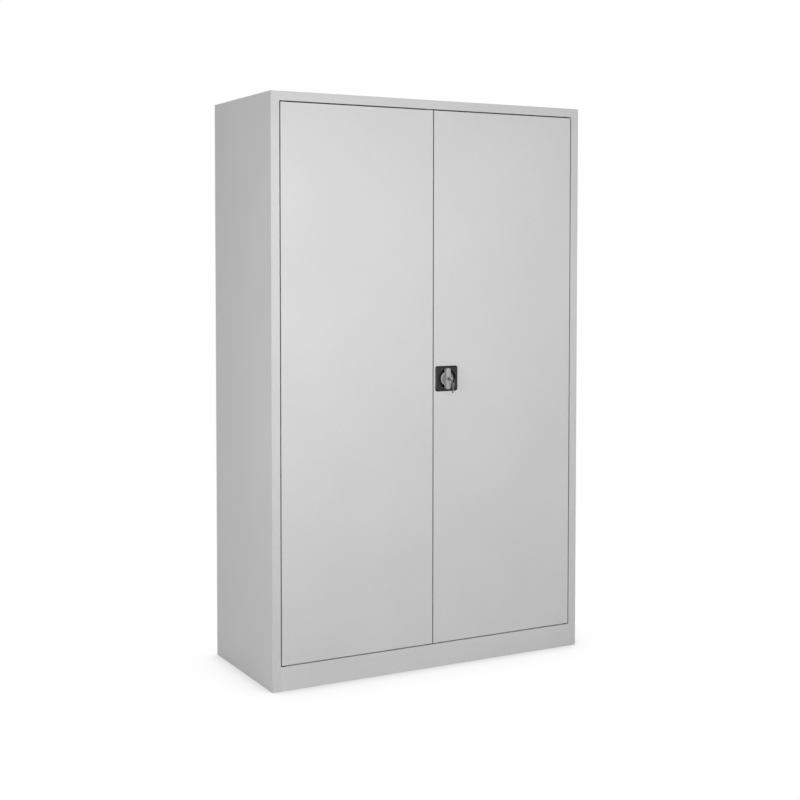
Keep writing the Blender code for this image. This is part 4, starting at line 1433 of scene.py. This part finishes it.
def keys():
    """The key in the lock, the split ring through its bow and the spare key that hangs from it."""
    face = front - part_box("lock_plug")[0].y
    hole_out = face + key_neck + 2 * bow_radius - bow_hole_from_end
    key = flat_key("key_in_lock")
    key.data.transform(key_place(hole_out))
    fit_piece(soften(key, edge_round / 2), "key")

    low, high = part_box("key_ring")
    ring = grow("split_ring", bpy.data.meshes.new("split_ring"), trees["coiled wire"], {
        "Radius": ring_radius, "Wire": ring_wire / 2, "Rise": ring_wire, "Turns": ring_turns,
        "Steps": round_steps, "Sides": ring_sides, "Finish": nickel,
    })
    lie = Matrix.Rotation(math.radians(90), 4, "X") @ Matrix.Translation((0, 0, -ring_wire / 2))
    ring.data.transform(Matrix.Translation((low + high) / 2) @ lie)
    ring.data.shade_smooth()
    fit_piece(ring, "key_ring")

    spare = flat_key("key_on_ring")
    upright = Matrix.Rotation(math.radians(-90), 4, "X") @ Matrix.Rotation(math.radians(90), 4, "Y")
    low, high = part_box("spare_key")
    hole = Vector(((low.x + high.x) / 2, (low.y + high.y) / 2, high.z - bow_hole_from_end))
    spare.data.transform(Matrix.Translation(hole) @ upright)
    fit_piece(soften(spare, edge_round / 2), "spare_key")


def lock_case():
    """The bracket behind the knob that guides its spindle."""
    low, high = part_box("lock_case")
    base = low.y + sheet
    half = (high.x - low.x) / 2 - case_foot
    path = hat(lock_x, half, case_foot, base, high.y)
    case = folded("lock_bracket", zinc, path, low.z, high.z, plan(1))
    centre = (lock_x, front, lock_z)
    bore = spindle_radius + running_fit
    combine(case, bar(bore, -overrun, door_thickness + overrun, (0, 1, 0), centre, round_steps))
    fit_piece(soften(case), "lock_case")
    reach, spread = half + case_foot / 2, (high.z - low.z) * case_rivet_share
    places = [
        (lock_x + across * reach, base, lock_z + up * spread)
        for across in (-1, 1)
        for up in (-1, 1)
    ]
    set_rivets("lock_bracket_rivets", "lock_case", places, seed=7)


def set_rivets(name, node, places, seed):
    """Rivet heads that face the back, each turned and sized a little differently."""
    rows = [(place, (0, 1, 0), (0, 0, 1)) for place in places]
    heads = set_at_points(name, rows, rivet_head(), zinc, math.pi, rivet_size_change, seed)
    return ride_with(heads, node)


def rivet_head():
    """The dome of a pop rivet with the dimple that its mandrel leaves."""
    profile = [(rivet_radius * across, rivet_rise * up) for across, up in rivet_shares]
    profile += [(rivet_radius, -sheet / 2), (0, -sheet / 2)]
    return shade(lathe("rivet", None, profile, (0, 0, 1), (0, 0, 0), rivet_sides))


def guide(node):
    """A staple on a door's lip that a rod or bolt slides in, with its two rivets."""
    low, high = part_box(node)
    base = low.y + sheet
    middle = (low.x + high.x) / 2
    half = (high.x - low.x) / 2 - guide_foot
    path = hat(middle, half, guide_foot, base, high.y)
    staple = folded(f"{node}_staple", zinc, path, low.z, high.z, plan(1))
    fit_piece(soften(staple, edge_round / 2), node)
    reach = half + guide_foot * guide_rivet_share
    places = [(middle + across * reach, base, (low.z + high.z) / 2) for across in (-1, 1)]
    set_rivets(f"{node}_rivets", node, places, seed=11)


def slide_bolt(end_name, up):
    """A bolt of the left door: a flat bar with a turned finger tab."""
    node = f"{end_name}_slide_bolt"
    low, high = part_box(node)
    end, far = (high.z, low.z) if up > 0 else (low.z, high.z)
    rod_back = low.y + bolt_sheet
    length = abs(end - far)
    path = ((rod_back, 0), (rod_back, -length), (rod_back + bolt_tab, -length))
    bolt = folded(
        f"{end_name}_bolt_bar", zinc, path, low.x, high.x, drawn_from_side(up, end), bolt_sheet, bolt_radius,
    )
    return fit_piece(soften(bolt), node)


def pivot_pin(side_name, end_name, side, up):
    """A door's pivot pin with its collar and chamfered ends."""
    node = f"{side_name}_{end_name}_pivot_pin"
    low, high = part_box(node)
    door_low, door_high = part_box(f"{side_name}_door")
    edge = door_high.z if up > 0 else door_low.z
    below, tip = sorted((up * (low.z - edge), up * (high.z - edge)))
    collar_top = -(sheet + fit)
    profile = [
        (0, below),
        (pin_radius - edge_round, below),
        (pin_radius, below + edge_round),
        (pin_radius, collar_top - pin_collar_height),
        (pin_collar_radius - edge_round, collar_top - pin_collar_height),
        (pin_collar_radius, collar_top - pin_collar_height + edge_round),
        (pin_collar_radius, collar_top - edge_round),
        (pin_collar_radius - edge_round, collar_top),
        (pin_radius, collar_top),
        (pin_radius, tip - pin_chamfer),
        (pin_radius - pin_chamfer, tip),
        (0, tip),
    ]
    centre = (side * pivot_x, pivot_y, edge)
    pin = lathe(f"{side_name}_{end_name}_pin", zinc, profile, (0, 0, up), centre, small_steps)
    return fit_piece(shade(pin), node)


def shown_to_eye_or_mirror(tree):
    """One for a ray from the camera, or one that a gloss or a glass sends on, and none for the rest."""
    path = add_node(tree, "ShaderNodeLightPath")
    seen = add_node(tree, "ShaderNodeMath", {
        0: path.outputs["Is Camera Ray"], 1: path.outputs["Is Glossy Ray"],
    }, operation="MAXIMUM")
    return add_node(tree, "ShaderNodeMath", {
        0: seen.outputs[0], 1: path.outputs["Is Transmission Ray"],
    }, operation="MAXIMUM").outputs[0]


def contact_shadow(tree, reach, depth):
    """How dark the floor is where something stands within reach of it."""
    shut_in = add_node(tree, "ShaderNodeAmbientOcclusion", {"Distance": reach}, samples=shadow_rays)
    hidden = add_node(tree, "ShaderNodeMapRange", {
        "Value": shut_in.outputs["AO"], "From Min": 1.0, "From Max": shadow_full,
        "To Min": 0.0, "To Max": 1.0,
    })
    falling = add_node(tree, "ShaderNodeMath", {
        0: hidden.outputs["Result"], 1: shadow_falloff,
    }, operation="POWER")
    dark = add_node(tree, "ShaderNodeMath", {0: falling.outputs[0], 1: depth}, operation="MULTIPLY")
    return dark.outputs[0]


def floor_and_world():
    """A white sweep: plain white where it is seen or mirrored, and grey only where the cabinet stands."""
    mesh = bpy.data.meshes.new("floor")
    half = floor_side / 2
    corners = [(-half, -half), (half, -half), (half, half), (-half, half)]
    mesh.from_pydata([(x, y, -floor_drop) for x, y in corners], [], [(0, 1, 2, 3)])
    floor = keep("floor", mesh)

    made = bpy.data.materials.new("white_studio_floor")
    made.use_nodes = True
    tree = made.node_tree
    tree.nodes.clear()
    dark = add_node(tree, "ShaderNodeMath", {
        0: contact_shadow(tree, far_shadow_reach, far_shadow_depth),
        1: contact_shadow(tree, near_shadow_reach, near_shadow_depth),
    }, operation="ADD")
    level = add_node(tree, "ShaderNodeMath", {0: 1.0, 1: dark.outputs[0]}, operation="SUBTRACT")
    white = add_node(tree, "ShaderNodeEmission", {"Strength": level.outputs[0]})
    plain = add_node(tree, "ShaderNodeBsdfDiffuse", {"Color": (floor_bounce,) * 3 + (1.0,)})
    both = add_node(tree, "ShaderNodeMixShader", {
        0: shown_to_eye_or_mirror(tree), 1: plain.outputs[0], 2: white.outputs[0],
    })
    add_node(tree, "ShaderNodeOutputMaterial", {"Surface": both.outputs[0]})
    mesh.materials.append(made)

    world = bpy.data.worlds.new("studio")
    scene.world = world
    world.use_nodes = True
    tree = world.node_tree
    tree.nodes.clear()
    level = add_node(tree, "ShaderNodeMapRange", {
        "Value": shown_to_eye_or_mirror(tree), "From Min": 0.0, "From Max": 1.0,
        "To Min": ambient_level, "To Max": 1.0,
    })
    background = add_node(tree, "ShaderNodeBackground", {
        "Color": (1.0, 1.0, 1.0, 1.0), "Strength": level.outputs["Result"],
    })
    add_node(tree, "ShaderNodeOutputWorld", {"Surface": background.outputs[0]})


def soft_boxes():
    """The lamps, each a square soft box aimed at a place on the cabinet and not seen itself."""
    for name, values in lamps.items():
        light = bpy.data.lights.new(name, "AREA")
        light.shape = "SQUARE"
        light.size = soft_box_side
        light.energy = values["power"]
        lamp = bpy.data.objects.new(name, light)
        scene.collection.objects.link(lamp)
        lamp.visible_camera = False
        lamp.visible_glossy = values["mirrored"]
        lamp.location = values["place"]
        towards = Vector(values["aim"]) - Vector(values["place"])
        lamp.rotation_euler = towards.to_track_quat("-Z", "Y").to_euler()


def photograph_camera():
    """The camera where the photograph was taken from, with its shift for the framing."""
    data = bpy.data.cameras.new("photograph")
    data.sensor_width = sensor_width
    data.lens = focal_pixels / image_side * sensor_width
    data.shift_y = (axis_row - image_side / 2) / image_side
    camera = bpy.data.objects.new("photograph", data)
    scene.collection.objects.link(camera)
    turn = Matrix.Rotation(camera_turn, 4, "Z") @ Matrix.Rotation(math.radians(90) + camera_pitch, 4, "X")
    place = Matrix.Translation((camera_x, front - camera_before_doors, camera_height))
    camera.matrix_world = place @ turn @ Matrix.Rotation(camera_roll, 4, "Z")
    scene.camera = camera


# Places read from the frame
side_low, side_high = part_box("left_side_panel")
outer, front, back, height = -side_low.x, side_low.y, side_high.y, side_high.z
opening = outer - stile_width
inside = outer - sheet - fit
inside_back = back - sheet - fit
rail_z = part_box("top_panel")[0].z
plinth_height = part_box("front_plinth")[1].z
pivot_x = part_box("right_door")[1].x - hinge_inset
pivot_y = front + hinge_setback
plate_low, plate_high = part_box("lock_plate")
lock_x, lock_z = (plate_low.x + plate_high.x) / 2, (plate_low.z + plate_high.z) / 2

slot_of = {row["node"]: row["material_slot"] for row in frame["record"]["subparts"]}
finish = finishes()
coat, zinc, nickel = finish["powder_coat"], finish["zinc_plate"], finish["nickel_plate"]
# The sides and the top have the same powder a shade darker: painted shade for the lesser light that falls on
# them
shaded_frame_coat = powder_coat("light_grey_powder_coat_painted_shade_of_frame", "#C9C9C9", "#D1D1D1")
trees = {
    "folded sheet": folded_sheet_tree(),
    "set at points": set_at_points_tree(),
    "coiled wire": coiled_wire_tree(),
}
scene.view_settings.view_transform = "Standard"

photograph_camera()
floor_and_world()
soft_boxes()

top_panel()
front_plinth()
door_stop()
back_panel()
floor_panel()
floor_channel()
for side_name, side in (("left", -1), ("right", 1)):
    side_panel(side_name, side)
    for row in ("front", "rear"):
        shelf_rail(side_name, row, side)
        shelf_rail_welds(side_name, row, side)
        for number in range(1, shelf_count + 1):
            shelf_clip(number, side_name, row, side)
    door(side_name, side)
    door_stiffener(side_name, side)
    for end_name, up in (("upper", 1), ("lower", -1)):
        pivot_pin(side_name, end_name, side, up)
        pivot_bush(side_name, end_name, side, up)
for number in range(1, shelf_count + 1):
    shelf(number)
lock_plate()
knob()
lock_plug()
keys()
lock_case()
dressed("cam")
for end_name, up in (("upper", 1), ("lower", -1)):
    dressed(f"{end_name}_lock_rod")
    guide(f"{end_name}_rod_guide")
    guide(f"{end_name}_bolt_guide")
    slide_bolt(end_name, up)
